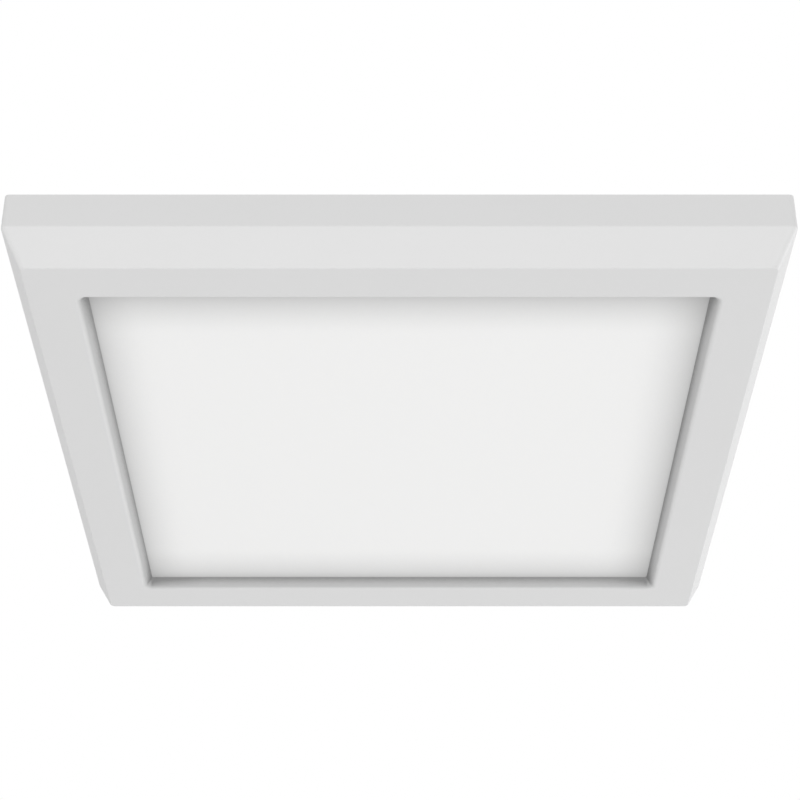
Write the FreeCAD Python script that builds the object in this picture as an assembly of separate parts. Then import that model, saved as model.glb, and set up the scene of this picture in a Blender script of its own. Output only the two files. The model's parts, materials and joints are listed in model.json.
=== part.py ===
import FreeCAD
import Part

import math
import os

# Square flush mount ceiling light: a moulded bezel housing, a frosted lens lit by a light guide
# and four LED strips, a driver, a steel back cover, and a mounting plate that holds it by clips.
# Millimetres, +Z up. The origin is the middle of the mounting plate on the ceiling plane, z = 0,
# and everything hangs below it.

# Bezel housing, outside
light_width = 228.6
light_height = 22.2
band_height = 11.4
slope_inset = 5.65
corner_radius = 1.6
crease_radius = 1.0
face_edge_radius = 0.5

# Window and its lip; the frame runs from the light's side to the window's edge
frame_width = 22.7
window_corner_radius = 0.8
mouth_corner_radius = 2.2
throat_draft = 0.6
lip_angle = 51.7
lip_depth = 2.2
lip_radius = 2.1
lens_recess = 3.7

# Bezel housing, inside
wall = 2.0
face_thickness = 2.2
inner_corner_radius = 0.8
upstand_width = 2.5
locating_rib_width = 1.2
locating_rib_drop = 1.0
stiffener_width = 1.2
stiffener_height = 5.0
stiffeners_per_side = 7
boss_radius = 3.2
boss_gap = 1.3
boss_web_width = 1.4
boss_web_drop = 4.5
spreader_boss_offset = 62.0

# Optical stack
lens_thickness = 2.0
lens_overlap = 7.4
lens_corner_radius = 1.5
edge_clearance = 0.3
guide_thickness = 3.0
guide_gap = 0.7
reflector_thickness = 0.3
foam_thickness = 1.2
foam_inset = 5.0

# Heat spreader, a folded aluminium tray
spreader_sheet = 1.2
fold_relief = 4.0
ear_width = 9.0
ear_reach = 3.6
lead_hole_radius = 4.0

# LED strips
strip_thickness = 1.0
strip_end_gap = 3.5
strip_foot_gap = 0.2
led_length = 4.0
led_height = 1.4
led_depth = 0.8
leds_per_strip = 20

# Back cover, pressed steel
cover_sheet = 1.0
cover_clearance = 0.4
cover_corner_radius = 1.2
cover_lip = 2.5
plate_clearance = 5.0
pocket_corner_radius = 6.0
bend_radius = 1.0
gasket_thickness = 1.0
gasket_width = 4.7
gasket_edge_gap = 0.4
bead_width = 12.0
bead_depth = 0.6
bead_inset = 5.0

# Screws
screw_radius = 1.2
pilot_radius = 1.25
pilot_spare = 0.5
hole_clearance = 0.2
flat_head_radius = 2.8
pan_head_radius = 2.6
pan_head_height = 1.5
cover_screw_length = 9.0
spreader_screw_length = 7.0

# Mounting plate, pressed steel
slot_edge_width = 7.2
plate_sheet = 1.5
plate_corner_radius = 8.0
plate_bend_radius = 1.0
bend_relief = 1.5
wire_hole_radius = 27.0
box_screw_spacing = 79.375
box_slot_length = 14.3
box_slot_radius = 2.4
flange_length = 26.0
flange_below_window = 2.0
ground_screw_inset = 18.0
ground_screw_radius = 1.9
ground_head_radius = 4.0
ground_head_height = 2.6
ground_washer_radius = 5.0
ground_washer_height = 0.8
ground_drive_width = 1.2
ground_drive_depth = 0.8

# Spring clips
clip_width = 14.0
clip_sheet = 0.5
clip_bend_radius = 0.3
clip_wall_gap = 1.5
clip_foot_length = 14.0
clip_leg_height = 2.4
clip_plate_gap = 0.9
clip_grip = 1.8
clip_window_gap = 0.25
clip_side_gap = 0.5
clip_end_gap = 0.5
rivet_radius = 1.6
rivet_head_radius = 2.8
rivet_head_height = 0.8
rivet_inset = 3.5
rivet_spacing = 7.6

# Terminal block and lead grommet
block_length = 24.0
block_depth = 14.0
block_top_gap = 1.3
block_x = -22.0
block_y = -37.0
block_edge_radius = 0.6
poles = 3
port_width = 4.2
port_height = 3.2
port_depth = 5.0
probe_slot_width = 2.6
probe_slot_length = 1.2
probe_slot_depth = 2.0
block_peg_radius = 1.4
block_peg_spacing = 16.0
grommet_y = -37.0
grommet_outer_radius = 3.2
grommet_neck_radius = 2.5
grommet_bore_radius = 1.5
grommet_flange = 1.0

# Driver
driver_length = 112.0
driver_gap = 2.5
driver_edge_gap = 0.5
tray_sheet = 0.8
tray_corner_radius = 1.0
tray_tab_length = 7.0
tray_tab_width = 12.0
lid_gap = 0.2
lid_lip = 1.6
lid_lip_clearance = 0.15
standoff_height = 0.8
standoff_width = 4.0
board_thickness = 1.0
board_gap = 0.6
part_headroom = 0.4
lead_port_width = 7.0
lead_port_height = 2.8

# Parts on the driver board, in rows from its input end: what stands left, midway and right
board_rows = [
    ["fuse", None, "surge_disc"],
    ["bridge", None, "film_capacitor"],
    ["bulk_capacitor", None, "choke"],
    [None, "transformer", None],
    ["first_can", None, "first_chip"],
    ["second_can", None, "second_chip"],
    [None, "third_chip", None],
]
package_foot = 0.3
part_edge_cut = 0.5
connector_length = 9.0
connector_depth = 7.0
connector_height = 3.6
connector_edge = 0.4
connector_hole_radius = 1.1
connector_hole_depth = 5.0
fuse_radius = 1.3
fuse_length = 9.0
fuse_cap_length = 1.8
fuse_cap_thickness = 0.2
surge_disc_radius = 4.0
surge_disc_thickness = 3.2
bridge_length = 6.4
bridge_depth = 8.0
bridge_height = 2.4
bridge_leg_length = 1.6
bridge_leg_width = 1.2
bridge_leg_height = 0.9
bridge_leg_spacing = 5.0
film_length = 6.0
film_depth = 11.0
can_length = 16.0
can_groove = 1.2
can_groove_depth = 0.3
choke_radius = 4.6
choke_flange = 0.8
choke_neck_depth = 0.6
core_length = 16.0
core_depth = 17.0
core_window = 3.4
core_leg = 2.2
winding_gap = 0.4
output_can_length = 9.0
chip_lengths = [6.5, 6.5, 4.0]
chip_depths = [6.0, 6.0, 5.0]
chip_height = 1.5
chip_leg_reach = 1.0
chip_leg_share = 0.8

# Colour temperature switch
switch_inset_x = 23.5
switch_inset_y = 19.5
switch_length = 18.0
switch_width = 7.0
switch_height = 5.2
switch_ear_length = 28.0
switch_ear_height = 1.0
switch_ear_spacing = 22.6
switch_well_depth = 3.6
switch_screw_radius = 0.9
switch_head_radius = 1.9
slider_travel = 8.0
slider_length = 5.4
slider_width = 3.6
slider_height = 1.8
slider_gap = 0.2
knob_length = 2.8
knob_width = 2.4
knob_ceiling_gap = 0.4
window_gap = 0.3

# Cutters reach this far past the faces they open.
past = 1.0


# Levels, worked out from the sizes above
face_z = -light_height
crease_z = -band_height
lip_z = face_z + lip_depth
inner_face_z = face_z + face_thickness
lens_front_z = face_z + lens_recess
lens_back_z = lens_front_z + lens_thickness
guide_back_z = lens_back_z + guide_thickness
reflector_back_z = guide_back_z + reflector_thickness
spreader_front_z = reflector_back_z + foam_thickness
spreader_back_z = spreader_front_z + spreader_sheet
cover_back_z = -gasket_thickness
cover_front_z = cover_back_z - cover_sheet
pocket_floor_z = spreader_back_z + cover_sheet
plate_front_z = -plate_sheet
lid_back_z = cover_front_z - lid_gap
lid_front_z = lid_back_z - tray_sheet
tray_floor_z = spreader_back_z + tray_sheet
board_front_z = tray_floor_z + standoff_height
board_back_z = board_front_z + board_thickness
part_height = lid_front_z - board_back_z - part_headroom
block_height = plate_front_z - pocket_floor_z - block_top_gap
clip_height = plate_front_z - pocket_floor_z - clip_plate_gap
clip_bump_height = (clip_height - clip_leg_height) / 2
clip_bump_z = pocket_floor_z + clip_leg_height + clip_bump_height

# Half widths and places in plan
half_width = light_width / 2
window_half = half_width - frame_width
window_width = 2 * window_half
slope_height = light_height - band_height
lean = math.atan2(slope_inset, slope_height)
inner_half = half_width - wall
knee_z = crease_z + wall * math.tan(lean / 2)
floor_half = inner_half - (knee_z - inner_face_z) * math.tan(lean)
lens_half = window_half + lens_overlap
rib_half = lens_half + edge_clearance
spreader_inside = lens_half - spreader_sheet
strip_face = spreader_inside - strip_thickness
led_face = strip_face - led_depth
guide_half = led_face - guide_gap
boss_half = lens_half + boss_gap + boss_radius
cover_half = inner_half - cover_clearance
plate_half = (box_screw_spacing + box_slot_length) / 2 + slot_edge_width
ground_screw_place = (ground_screw_inset - plate_half, plate_half - ground_screw_inset)
pocket_half = plate_half + plate_clearance
clip_leg_x = pocket_half - clip_wall_gap
clip_foot_x = clip_leg_x - clip_foot_length
clip_bump_x = plate_half - clip_grip
rivet_x = clip_foot_x + rivet_inset
driver_low_x = pocket_half + cover_sheet + driver_gap
driver_high_x = lens_half - driver_edge_gap
driver_width = driver_high_x - driver_low_x
driver_x = (driver_low_x + driver_high_x) / 2
board_width = driver_width - 2 * (tray_sheet + board_gap)
board_length = driver_length - 2 * (tray_sheet + board_gap)
row_depths = [fuse_length, film_depth, can_length, core_depth]
row_depths += [output_can_length, output_can_length, chip_depths[-1]]
tab_screw_y = (driver_length + tray_tab_length) / 2
switch_x = boss_half - switch_inset_x
switch_y = boss_half - switch_inset_y
cover_screw_places = [
    (x * boss_half, y * boss_half) for x in (-1, 0, 1) for y in (-1, 0, 1) if (x, y) != (0, 0)
]
spreader_screw_places = [
    (x * spreader_boss_offset, y * boss_half) for x in (-1, 1) for y in (-1, 1)
]
tab_screw_places = [(driver_x, y * tab_screw_y) for y in (-1, 1)]
rivet_places = [(x * rivet_x, y * rivet_spacing / 2) for x in (-1, 1) for y in (-1, 1)]
peg_places = [(block_x + x * block_peg_spacing / 2, block_y) for x in (-1, 1)]
switch_screw_places = [(switch_x + x * switch_ear_spacing / 2, switch_y) for x in (-1, 1)]


def point(x, y, z):
    return FreeCAD.Vector(x, y, z)


def block(x_span, y_span, z_span):
    """A square-edged block between two corners, given as spans along X, Y and Z."""
    corner = point(x_span[0], y_span[0], z_span[0])
    sizes = [span[1] - span[0] for span in (x_span, y_span, z_span)]
    return Part.makeBox(*sizes, corner)


def block_at(x, y, length, depth, z_low, z_high):
    """A block centred on a place in plan."""
    return block((x - length / 2, x + length / 2), (y - depth / 2, y + depth / 2), (z_low, z_high))


def rod(radius, x, y, z_low, z_high):
    return Part.makeCylinder(radius, z_high - z_low, point(x, y, z_low))


def cone(radius_low, radius_high, x, y, z_low, z_high):
    return Part.makeCone(radius_low, radius_high, z_high - z_low, point(x, y, z_low))


def outline(length, depth, radius, z, x=0.0, y=0.0):
    """A closed rounded rectangle, lying flat at height z."""
    arcs = []
    for quarter, (x_sign, y_sign) in enumerate([(1, 1), (-1, 1), (-1, -1), (1, -1)]):
        centre = point(x + x_sign * (length / 2 - radius), y + y_sign * (depth / 2 - radius), z)
        circle = Part.Circle(centre, point(0, 0, 1), radius)
        start = quarter * math.pi / 2
        arcs.append(Part.Arc(circle, start, start + math.pi / 2).toShape())
    edges = []
    for arc, following in zip(arcs, arcs[1:] + arcs[:1]):
        edges.append(arc)
        edges.append(Part.makeLine(arc.Vertexes[-1].Point, following.Vertexes[0].Point))
    return Part.Wire(edges)


def sheet(length, depth, radius, z_low, z_high, x=0.0, y=0.0):
    """A flat plate with rounded corners in plan."""
    face = Part.Face(outline(length, depth, radius, z_low, x, y))
    return face.extrude(point(0, 0, z_high - z_low))


def square_ring(outer_half, inner_half_width, radius, z_low, z_high):
    outer = sheet(2 * outer_half, 2 * outer_half, radius, z_low, z_high)
    inner = sheet(2 * inner_half_width, 2 * inner_half_width, radius, z_low - past, z_high + past)
    return outer.cut(inner)


def slot(length, radius, x, y, z_low, z_high, along_y=False):
    """A round-ended slot cutter, its length measured end to end."""
    reach = length / 2 - radius
    dx, dy = (0, reach) if along_y else (reach, 0)
    ends = [rod(radius, x + sign * dx, y + sign * dy, z_low, z_high) for sign in (-1, 1)]
    middle = block_at(x, y, 2 * max(dx, radius), 2 * max(dy, radius), z_low, z_high)
    return middle.fuse(ends).removeSplitter()


def turned_quarters(shape, quarters=(0, 1, 2, 3)):
    """Copies of a shape turned about the middle of the light by quarter turns."""
    copies = []
    for quarter in quarters:
        copy = shape.copy()
        copy.rotate(point(0, 0, 0), point(0, 0, 1), 90 * quarter)
        copies.append(copy)
    return copies


def level_edges(shape, z, within=None):
    """The edges that lie flat at height z, all of them or those inside a half width."""
    found = []
    for edge in shape.Edges:
        middle = edge.valueAt((edge.FirstParameter + edge.LastParameter) / 2)
        places = [vertex.Point for vertex in edge.Vertexes] + [middle]
        level = all(abs(place.z - z) < 1e-4 for place in places)
        inside = within is None or all(max(abs(p.x), abs(p.y)) < within for p in places)
        if level and inside:
            found.append(edge)
    return found


def edges_along(shape, axis):
    """The straight edges that run along an axis."""
    found = []
    for edge in shape.Edges:
        if isinstance(edge.Curve, Part.Line):
            if abs(abs(edge.Curve.Direction.dot(axis)) - 1) < 1e-6:
                found.append(edge)
    return found


def bent_strip(corners, thickness, width, inner_radius):
    """A bent sheet strip: a line of corners in X and Z, made thick to its left, wide along Y."""
    places = [point(x, -width / 2, z) for x, z in corners]
    normals = []
    for start, end in zip(places, places[1:]):
        run = (end - start).normalize()
        normals.append(point(-run.z, 0, run.x))
    left_side = [places[0] + normals[0] * thickness]
    outer_bends = []
    inner_bends = []
    for place, before, after in zip(places[1:-1], normals, normals[1:]):
        opposite = place + (before + after) * (thickness / (1 + before.dot(after)))
        left_side.append(opposite)
        turns_left = before.x * after.z - before.z * after.x > 0
        outer_bends.append(place if turns_left else opposite)
        inner_bends.append(opposite if turns_left else place)
    left_side.append(places[-1] + normals[-1] * thickness)
    profile = Part.makePolygon(places + left_side[::-1] + places[:1])
    strip = Part.Face(profile).extrude(point(0, width, 0))
    strip = strip.makeFillet(inner_radius + thickness, edges_at(strip, outer_bends))
    return strip.makeFillet(inner_radius, edges_at(strip, inner_bends))


def edges_at(shape, places):
    """The edges along Y that start at any of the places given in X and Z."""
    found = []
    for edge in edges_along(shape, point(0, 1, 0)):
        end = edge.Vertexes[0].Point
        if any(math.hypot(end.x - place.x, end.z - place.z) < 1e-4 for place in places):
            found.append(edge)
    return found


def flat_head_screw(x, y, head_radius, radius, length):
    """A countersunk screw with its head flush with the back of the cover."""
    head = cone(radius, head_radius, x, y, cover_front_z, cover_back_z)
    shank = rod(radius, x, y, cover_back_z - length, cover_front_z)
    return head.fuse(shank)


def pan_head_screw(x, y, z_seat, length):
    """A round-headed screw standing on z_seat, its tip cut square."""
    head = rod(pan_head_radius, x, y, z_seat, z_seat + pan_head_height)
    return head.fuse(rod(screw_radius, x, y, z_seat - length, z_seat))


def housing_outside():
    band = sheet(light_width, light_width, corner_radius, crease_z, 0)
    crease = outline(light_width, light_width, corner_radius, crease_z)
    face_width = light_width - 2 * slope_inset
    face = outline(face_width, face_width, corner_radius, face_z)
    slope = Part.makeLoft([crease, face], True, True)
    body = band.fuse(slope).removeSplitter()
    body = body.makeFillet(crease_radius, level_edges(body, crease_z))
    return body.makeFillet(face_edge_radius, level_edges(body, face_z))


def housing_cavity():
    """The hollow behind the face: upright inside the band, leaning in inside the slope."""
    upper = sheet(2 * inner_half, 2 * inner_half, inner_corner_radius, knee_z, past)
    knee = outline(2 * inner_half, 2 * inner_half, inner_corner_radius, knee_z)
    floor = outline(2 * floor_half, 2 * floor_half, inner_corner_radius, inner_face_z)
    return upper.fuse(Part.makeLoft([knee, floor], True, True)).removeSplitter()


def window_cutter():
    """The window: a drafted throat in front of the lens, opening out over the sloped lip."""
    opening = sheet(window_width, window_width, window_corner_radius, lens_front_z, past)
    throat_width = window_width + 2 * throat_draft
    mouth_width = throat_width + 2 * (lip_depth + past) / math.tan(math.radians(lip_angle))
    seat = outline(window_width, window_width, window_corner_radius, lens_front_z)
    lip = outline(throat_width, throat_width, window_corner_radius, lip_z)
    mouth = outline(mouth_width, mouth_width, mouth_corner_radius, face_z - past)
    throat_loft = Part.makeLoft([seat, lip], True, True)
    lip_loft = Part.makeLoft([lip, mouth], True, True)
    return opening.fuse([throat_loft, lip_loft])


def housing_shell():
    """The outside less the cavity, with an upstand round the window for the lens to lie on."""
    upstand_length = 2 * (window_half + upstand_width)
    upstand = sheet(upstand_length, upstand_length, inner_corner_radius, inner_face_z, lens_front_z)
    shell = housing_outside().cut(housing_cavity()).fuse(upstand).removeSplitter()
    shell = shell.cut(window_cutter())
    mouth_half = window_half + throat_draft + lip_depth / math.tan(math.radians(lip_angle))
    return shell.makeFillet(lip_radius, level_edges(shell, face_z, mouth_half + past))


def boss_webs():
    """Webs that tie each screw boss to the wall or walls beside it."""
    web_top = cover_front_z - boss_web_drop
    half_web = boss_web_width / 2
    webs = []
    for x, y in cover_screw_places:
        if x:
            wall_x = math.copysign(half_width, x)
            span = sorted((x, wall_x))
            webs.append(block(span, (y - half_web, y + half_web), (inner_face_z, web_top)))
        if y:
            wall_y = math.copysign(half_width, y)
            span = sorted((y, wall_y))
            webs.append(block((x - half_web, x + half_web), span, (inner_face_z, web_top)))
    for x, y in spreader_screw_places:
        span = sorted((y, math.copysign(half_width, y)))
        top = spreader_front_z - locating_rib_drop
        webs.append(block((x - half_web, x + half_web), span, (inner_face_z, top)))
    return webs


def stiffeners():
    """Short ribs from the locating rib to the wall, evenly spaced along each side."""
    pitch = 2 * boss_half / (stiffeners_per_side + 1)
    top = inner_face_z + stiffener_height
    ribs = []
    for count in range(1, stiffeners_per_side + 1):
        x = -boss_half + count * pitch
        across = (x - stiffener_width / 2, x + stiffener_width / 2)
        rib = block(across, (rib_half, half_width), (inner_face_z, top))
        ribs.extend(turned_quarters(rib))
    return ribs


def bezel_housing():
    """The white moulding that shows: band, slope, face, lip, and its ribs and bosses inside."""
    rib_top = spreader_front_z - locating_rib_drop
    rib_outer = rib_half + locating_rib_width
    locating_rib = square_ring(rib_outer, rib_half, inner_corner_radius, inner_face_z, rib_top)
    bosses = [rod(boss_radius, x, y, inner_face_z, cover_front_z) for x, y in cover_screw_places]
    bosses += [rod(boss_radius, x, y, inner_face_z, spreader_front_z) for x, y in spreader_screw_places]
    inside = locating_rib.fuse(bosses + boss_webs() + stiffeners()).common(housing_cavity())
    housing = housing_shell().fuse(inside)
    cover_pilot_z = cover_back_z - cover_screw_length - pilot_spare
    spreader_pilot_z = spreader_back_z - spreader_screw_length - pilot_spare
    pilots = [rod(pilot_radius, x, y, cover_pilot_z, past) for x, y in cover_screw_places]
    pilots += [rod(pilot_radius, x, y, spreader_pilot_z, past) for x, y in spreader_screw_places]
    return housing.cut(pilots).removeSplitter()


def diffuser_lens():
    lens = sheet(2 * lens_half, 2 * lens_half, lens_corner_radius, lens_front_z, lens_back_z)
    return lens.makeChamfer(edge_clearance, level_edges(lens, lens_front_z))


def light_guide():
    return sheet(2 * guide_half, 2 * guide_half, lens_corner_radius, lens_back_z, guide_back_z)


def reflector_sheet():
    return sheet(2 * guide_half, 2 * guide_half, lens_corner_radius, guide_back_z, reflector_back_z)


def foam_pad():
    pad_width = 2 * (guide_half - foam_inset)
    return sheet(pad_width, pad_width, foam_inset, reflector_back_z, spreader_front_z)


def heat_spreader():
    """A folded tray: its plate backs the stack, its walls carry the strips and hold the lens."""
    tray = sheet(2 * lens_half, 2 * lens_half, lens_corner_radius, lens_back_z, spreader_back_z)
    inside_width = 2 * spreader_inside
    low_z = lens_back_z - past
    hollow = sheet(inside_width, inside_width, inner_corner_radius, low_z, spreader_front_z)
    corner_span = (lens_half - fold_relief, half_width)
    relief = block(corner_span, corner_span, (low_z, spreader_front_z))
    tray = tray.cut([hollow] + turned_quarters(relief))
    thickness_span = (spreader_front_z, spreader_back_z)
    ears = []
    for x, y in spreader_screw_places:
        outer_y = math.copysign(boss_half + ear_reach, y)
        reach_span = sorted((math.copysign(lens_half - past, y), outer_y))
        ears.append(block((x - ear_width / 2, x + ear_width / 2), reach_span, thickness_span))
    tray = tray.fuse(ears)
    ear_hole_radius = screw_radius + hole_clearance
    under_z = spreader_front_z - past
    holes = [rod(ear_hole_radius, x, y, under_z, past) for x, y in spreader_screw_places]
    holes += [rod(pilot_radius, x, y, under_z, past) for x, y in tab_screw_places]
    holes.append(rod(lead_hole_radius, switch_x, -switch_y, under_z, past))
    return tray.cut(holes).removeSplitter()


def led_strip(quarter):
    """One strip board, standing against the tray wall; quarter 0 is the right side."""
    half_length = lens_half - strip_end_gap
    height_span = (lens_back_z + strip_foot_gap, spreader_front_z)
    board = block((strip_face, spreader_inside), (-half_length, half_length), height_span)
    return turned_quarters(board, [quarter])[0]


def led_group(first):
    """Every second LED of all four strips, starting with the first or the second of each."""
    middle_z = (lens_back_z + guide_back_z) / 2
    height_span = (middle_z - led_height / 2, middle_z + led_height / 2)
    run = 2 * (lens_half - strip_end_gap - led_length)
    pitch = run / (leds_per_strip - 1)
    packages = []
    for count in range(first, leds_per_strip, 2):
        y = -run / 2 + count * pitch
        package = block((led_face, strip_face), (y - led_length / 2, y + led_length / 2), height_span)
        packages.extend(turned_quarters(package))
    return Part.makeCompound(packages)


def spreader_screws():
    places = spreader_screw_places
    screws = [pan_head_screw(x, y, spreader_back_z, spreader_screw_length) for x, y in places]
    return Part.makeCompound(screws)


def cover_blank():
    """The pressed cover before its holes: flat rim, down-turned lip and centre pocket."""
    plate = sheet(2 * cover_half, 2 * cover_half, cover_corner_radius, cover_front_z, cover_back_z)
    lip_inner = cover_half - cover_sheet
    lip_low_z = cover_front_z - cover_lip
    lip = square_ring(cover_half, lip_inner, cover_corner_radius, lip_low_z, cover_front_z)
    pocket_width = 2 * pocket_half
    outer_width = pocket_width + 2 * cover_sheet
    outer_radius = pocket_corner_radius + cover_sheet
    bulge = sheet(outer_width, outer_width, outer_radius, spreader_back_z, cover_front_z)
    bulge = bulge.makeFillet(bend_radius + cover_sheet, level_edges(bulge, spreader_back_z))
    hollow = sheet(pocket_width, pocket_width, pocket_corner_radius, pocket_floor_z, past)
    hollow = hollow.makeFillet(bend_radius, level_edges(hollow, pocket_floor_z))
    beads = []
    grooves = []
    for place in bead_places():
        beads.append(bead(*place, cover_front_z - bead_depth, cover_front_z))
        grooves.append(bead(*place, cover_back_z - bead_depth, past, cover_sheet))
    return plate.fuse([lip, bulge] + beads).cut([hollow] + grooves)


def bead_places():
    """A pressed bead on each side of the pocket but the driver's, which has no room under it."""
    middle = (pocket_half + boss_half) / 2
    return [(-middle, 0, True), (0, middle, False), (0, -middle, False)]


def bead(x, y, along_y, z_low, z_high, inset=0.0):
    """A long stiffening bead pressed into the cover; inset narrows it to the groove on its back."""
    radius = bead_width / 2 - inset / 2
    length = 2 * (pocket_half - bead_inset) - inset
    return slot(length, radius, x, y, z_low, z_high, along_y)


def back_cover():
    blank = cover_blank()
    holes = [countersink(screw_radius, flat_head_radius, x, y) for x, y in cover_screw_places]
    holes += [countersink(switch_screw_radius, switch_head_radius, x, y) for x, y in switch_screw_places]
    floor_span = (spreader_back_z - past, pocket_floor_z + past)
    holes += [rod(rivet_radius, x, y, *floor_span) for x, y in rivet_places]
    peg_hole_radius = block_peg_radius + hole_clearance / 2
    holes += [rod(peg_hole_radius, x, y, *floor_span) for x, y in peg_places]
    holes.append(grommet_hole())
    knob_run = slider_travel + knob_length + 2 * window_gap
    knob_slot = knob_width + 2 * window_gap
    holes.append(block_at(switch_x, switch_y, knob_run, knob_slot, cover_front_z - past, past))
    return blank.cut(holes).removeSplitter()


def countersink(radius, head_radius, x, y):
    """A tapered hole through the cover for a flat head, a clearance wider all round."""
    low_radius = radius + hole_clearance
    return cone(low_radius, head_radius + hole_clearance, x, y, cover_front_z, cover_back_z)


def grommet_middle_z():
    """Midway up the flat part of the pocket wall, above the bend."""
    return (pocket_floor_z + bend_radius + cover_front_z) / 2


def grommet_hole():
    """The hole through the pocket wall that the grommet's neck fills."""
    radius = grommet_neck_radius + hole_clearance / 2
    start = point(pocket_half - past, grommet_y, grommet_middle_z())
    return Part.makeCylinder(radius, cover_sheet + 2 * past, start, point(1, 0, 0))


def lead_grommet():
    """A rubber ring snapped into the pocket wall, a flange on each side of the sheet."""
    along = point(1, 0, 0)
    z = grommet_middle_z()
    flange_x = [pocket_half - grommet_flange, pocket_half + cover_sheet]
    neck = Part.makeCylinder(grommet_neck_radius, cover_sheet, point(pocket_half, grommet_y, z), along)
    flanges = []
    for x in flange_x:
        flanges.append(Part.makeCylinder(grommet_outer_radius, grommet_flange, point(x, grommet_y, z), along))
    length = cover_sheet + 2 * grommet_flange + 2 * past
    start = point(flange_x[0] - past, grommet_y, z)
    bore = Part.makeCylinder(grommet_bore_radius, length, start, along)
    return neck.fuse(flanges).cut(bore).removeSplitter()


def cover_screws():
    sizes = (flat_head_radius, screw_radius, cover_screw_length)
    return Part.makeCompound([flat_head_screw(x, y, *sizes) for x, y in cover_screw_places])


def ceiling_gasket():
    """Foam ring on the rim of the back cover, pressed against the ceiling."""
    outer = cover_half - gasket_edge_gap
    return square_ring(outer, outer - gasket_width, inner_corner_radius, cover_back_z, 0)


def mounting_plate():
    """The ceiling bracket: slots for the box screws, a wire hole, two bent flanges for the clips."""
    plate = sheet(2 * plate_half, 2 * plate_half, plate_corner_radius, plate_front_z, 0)
    through = (plate_front_z - past, past)
    window_reach = clip_window_half()
    flange_low_z = clip_bump_z - window_reach - flange_below_window
    bend_start = plate_half - plate_sheet - plate_bend_radius - bend_relief
    corners = [(plate_half, flange_low_z), (plate_half, 0), (bend_start, 0)]
    flange = bent_strip(corners, plate_sheet, flange_length, plate_bend_radius)
    relief_length = flange_length + 2 * bend_relief
    relief = block((bend_start, plate_half + past), (-relief_length / 2, relief_length / 2), through)
    plate = plate.cut(turned_quarters(relief, [0, 2]))
    bracket = plate.fuse(turned_quarters(flange, [0, 2])).removeSplitter()
    window_length = clip_width + 2 * clip_side_gap
    window_span = (clip_bump_z - window_reach, clip_bump_z + window_reach)
    cutters = [rod(wire_hole_radius, 0, 0, *through)]
    for side in (-1, 1):
        cutters.append(block_at(side * plate_half, 0, 4 * plate_sheet, window_length, *window_span))
        offset = side * box_screw_spacing / 2
        cutters.append(slot(box_slot_length, box_slot_radius, offset, 0, *through))
        cutters.append(slot(box_slot_length, box_slot_radius, 0, offset, *through, along_y=True))
    cutters.append(rod(ground_screw_radius, *ground_screw_place, *through))
    return bracket.cut(cutters)


def clip_window_half():
    """Half the height of the flange window that the clip's bump passes through."""
    slope = math.atan2(clip_bump_height, clip_leg_x - clip_bump_x)
    return clip_grip * math.tan(slope) + clip_sheet / math.cos(slope) + clip_window_gap


def spring_clip(side):
    """A spring steel clip: foot on the pocket floor, leg, and a bump into the flange window."""
    corners = [
        (clip_foot_x, pocket_floor_z),
        (clip_leg_x, pocket_floor_z),
        (clip_leg_x, pocket_floor_z + clip_leg_height),
        (clip_bump_x, clip_bump_z),
        (clip_leg_x - clip_end_gap, clip_bump_z + clip_bump_height),
    ]
    clip = bent_strip(corners, clip_sheet, clip_width, clip_bend_radius)
    foot_span = (pocket_floor_z - past, pocket_floor_z + past)
    clip = clip.cut([rod(rivet_radius, x, y, *foot_span) for x, y in rivet_places])
    return clip if side > 0 else turned_quarters(clip, [2])[0]


def clip_rivets():
    rivets = []
    seat_z = pocket_floor_z + clip_sheet
    top_z = seat_z + rivet_head_height
    for x, y in rivet_places:
        head = rod(rivet_head_radius, x, y, seat_z, top_z)
        rivets.append(head.fuse(rod(rivet_radius, x, y, spreader_back_z, seat_z)))
    return Part.makeCompound(rivets)


def terminal_block():
    """A push-in connector block, open to the supply wires on one side and the lead on the other."""
    top_z = pocket_floor_z + block_height
    body = sheet(block_length, block_depth, block_edge_radius, pocket_floor_z, top_z, block_x, block_y)
    body = body.makeChamfer(block_edge_radius / 2, level_edges(body, top_z))
    pole_pitch = block_length / poles
    port_low = pocket_floor_z + (block_height - port_height) / 2
    port_span = (port_low, port_low + port_height)
    probe_span = (top_z - probe_slot_depth, top_z + past)
    cutters = []
    for pole in range(poles):
        x = block_x - block_length / 2 + (pole + 0.5) * pole_pitch
        for side in (-1, 1):
            mouth_y = block_y + side * (block_depth - port_depth + past) / 2
            cutters.append(block_at(x, mouth_y, port_width, port_depth + past, *port_span))
            probe_y = block_y + side * (block_depth - port_depth) / 2
            cutters.append(block_at(x, probe_y, probe_slot_width, probe_slot_length, *probe_span))
    body = body.cut(cutters)
    pegs = [rod(block_peg_radius, x, y, spreader_back_z, pocket_floor_z) for x, y in peg_places]
    return body.fuse(pegs)


def ground_screw():
    """A hex washer-head screw in the mounting plate, slotted."""
    x, y = ground_screw_place
    washer_low = plate_front_z - ground_washer_height
    head_low = washer_low - ground_head_height
    corners = []
    for step in range(7):
        turn = point(math.cos(step * math.pi / 3), math.sin(step * math.pi / 3), 0)
        corners.append(point(x, y, head_low) + turn * ground_head_radius)
    head = Part.Face(Part.makePolygon(corners)).extrude(point(0, 0, ground_head_height))
    washer = rod(ground_washer_radius, x, y, washer_low, plate_front_z)
    shank = rod(ground_screw_radius, x, y, plate_front_z, 0)
    drive_length = 3 * ground_head_radius
    drive = block_at(x, y, drive_length, ground_drive_width, head_low - past, head_low + ground_drive_depth)
    return head.fuse([washer, shank]).cut(drive)


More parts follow.
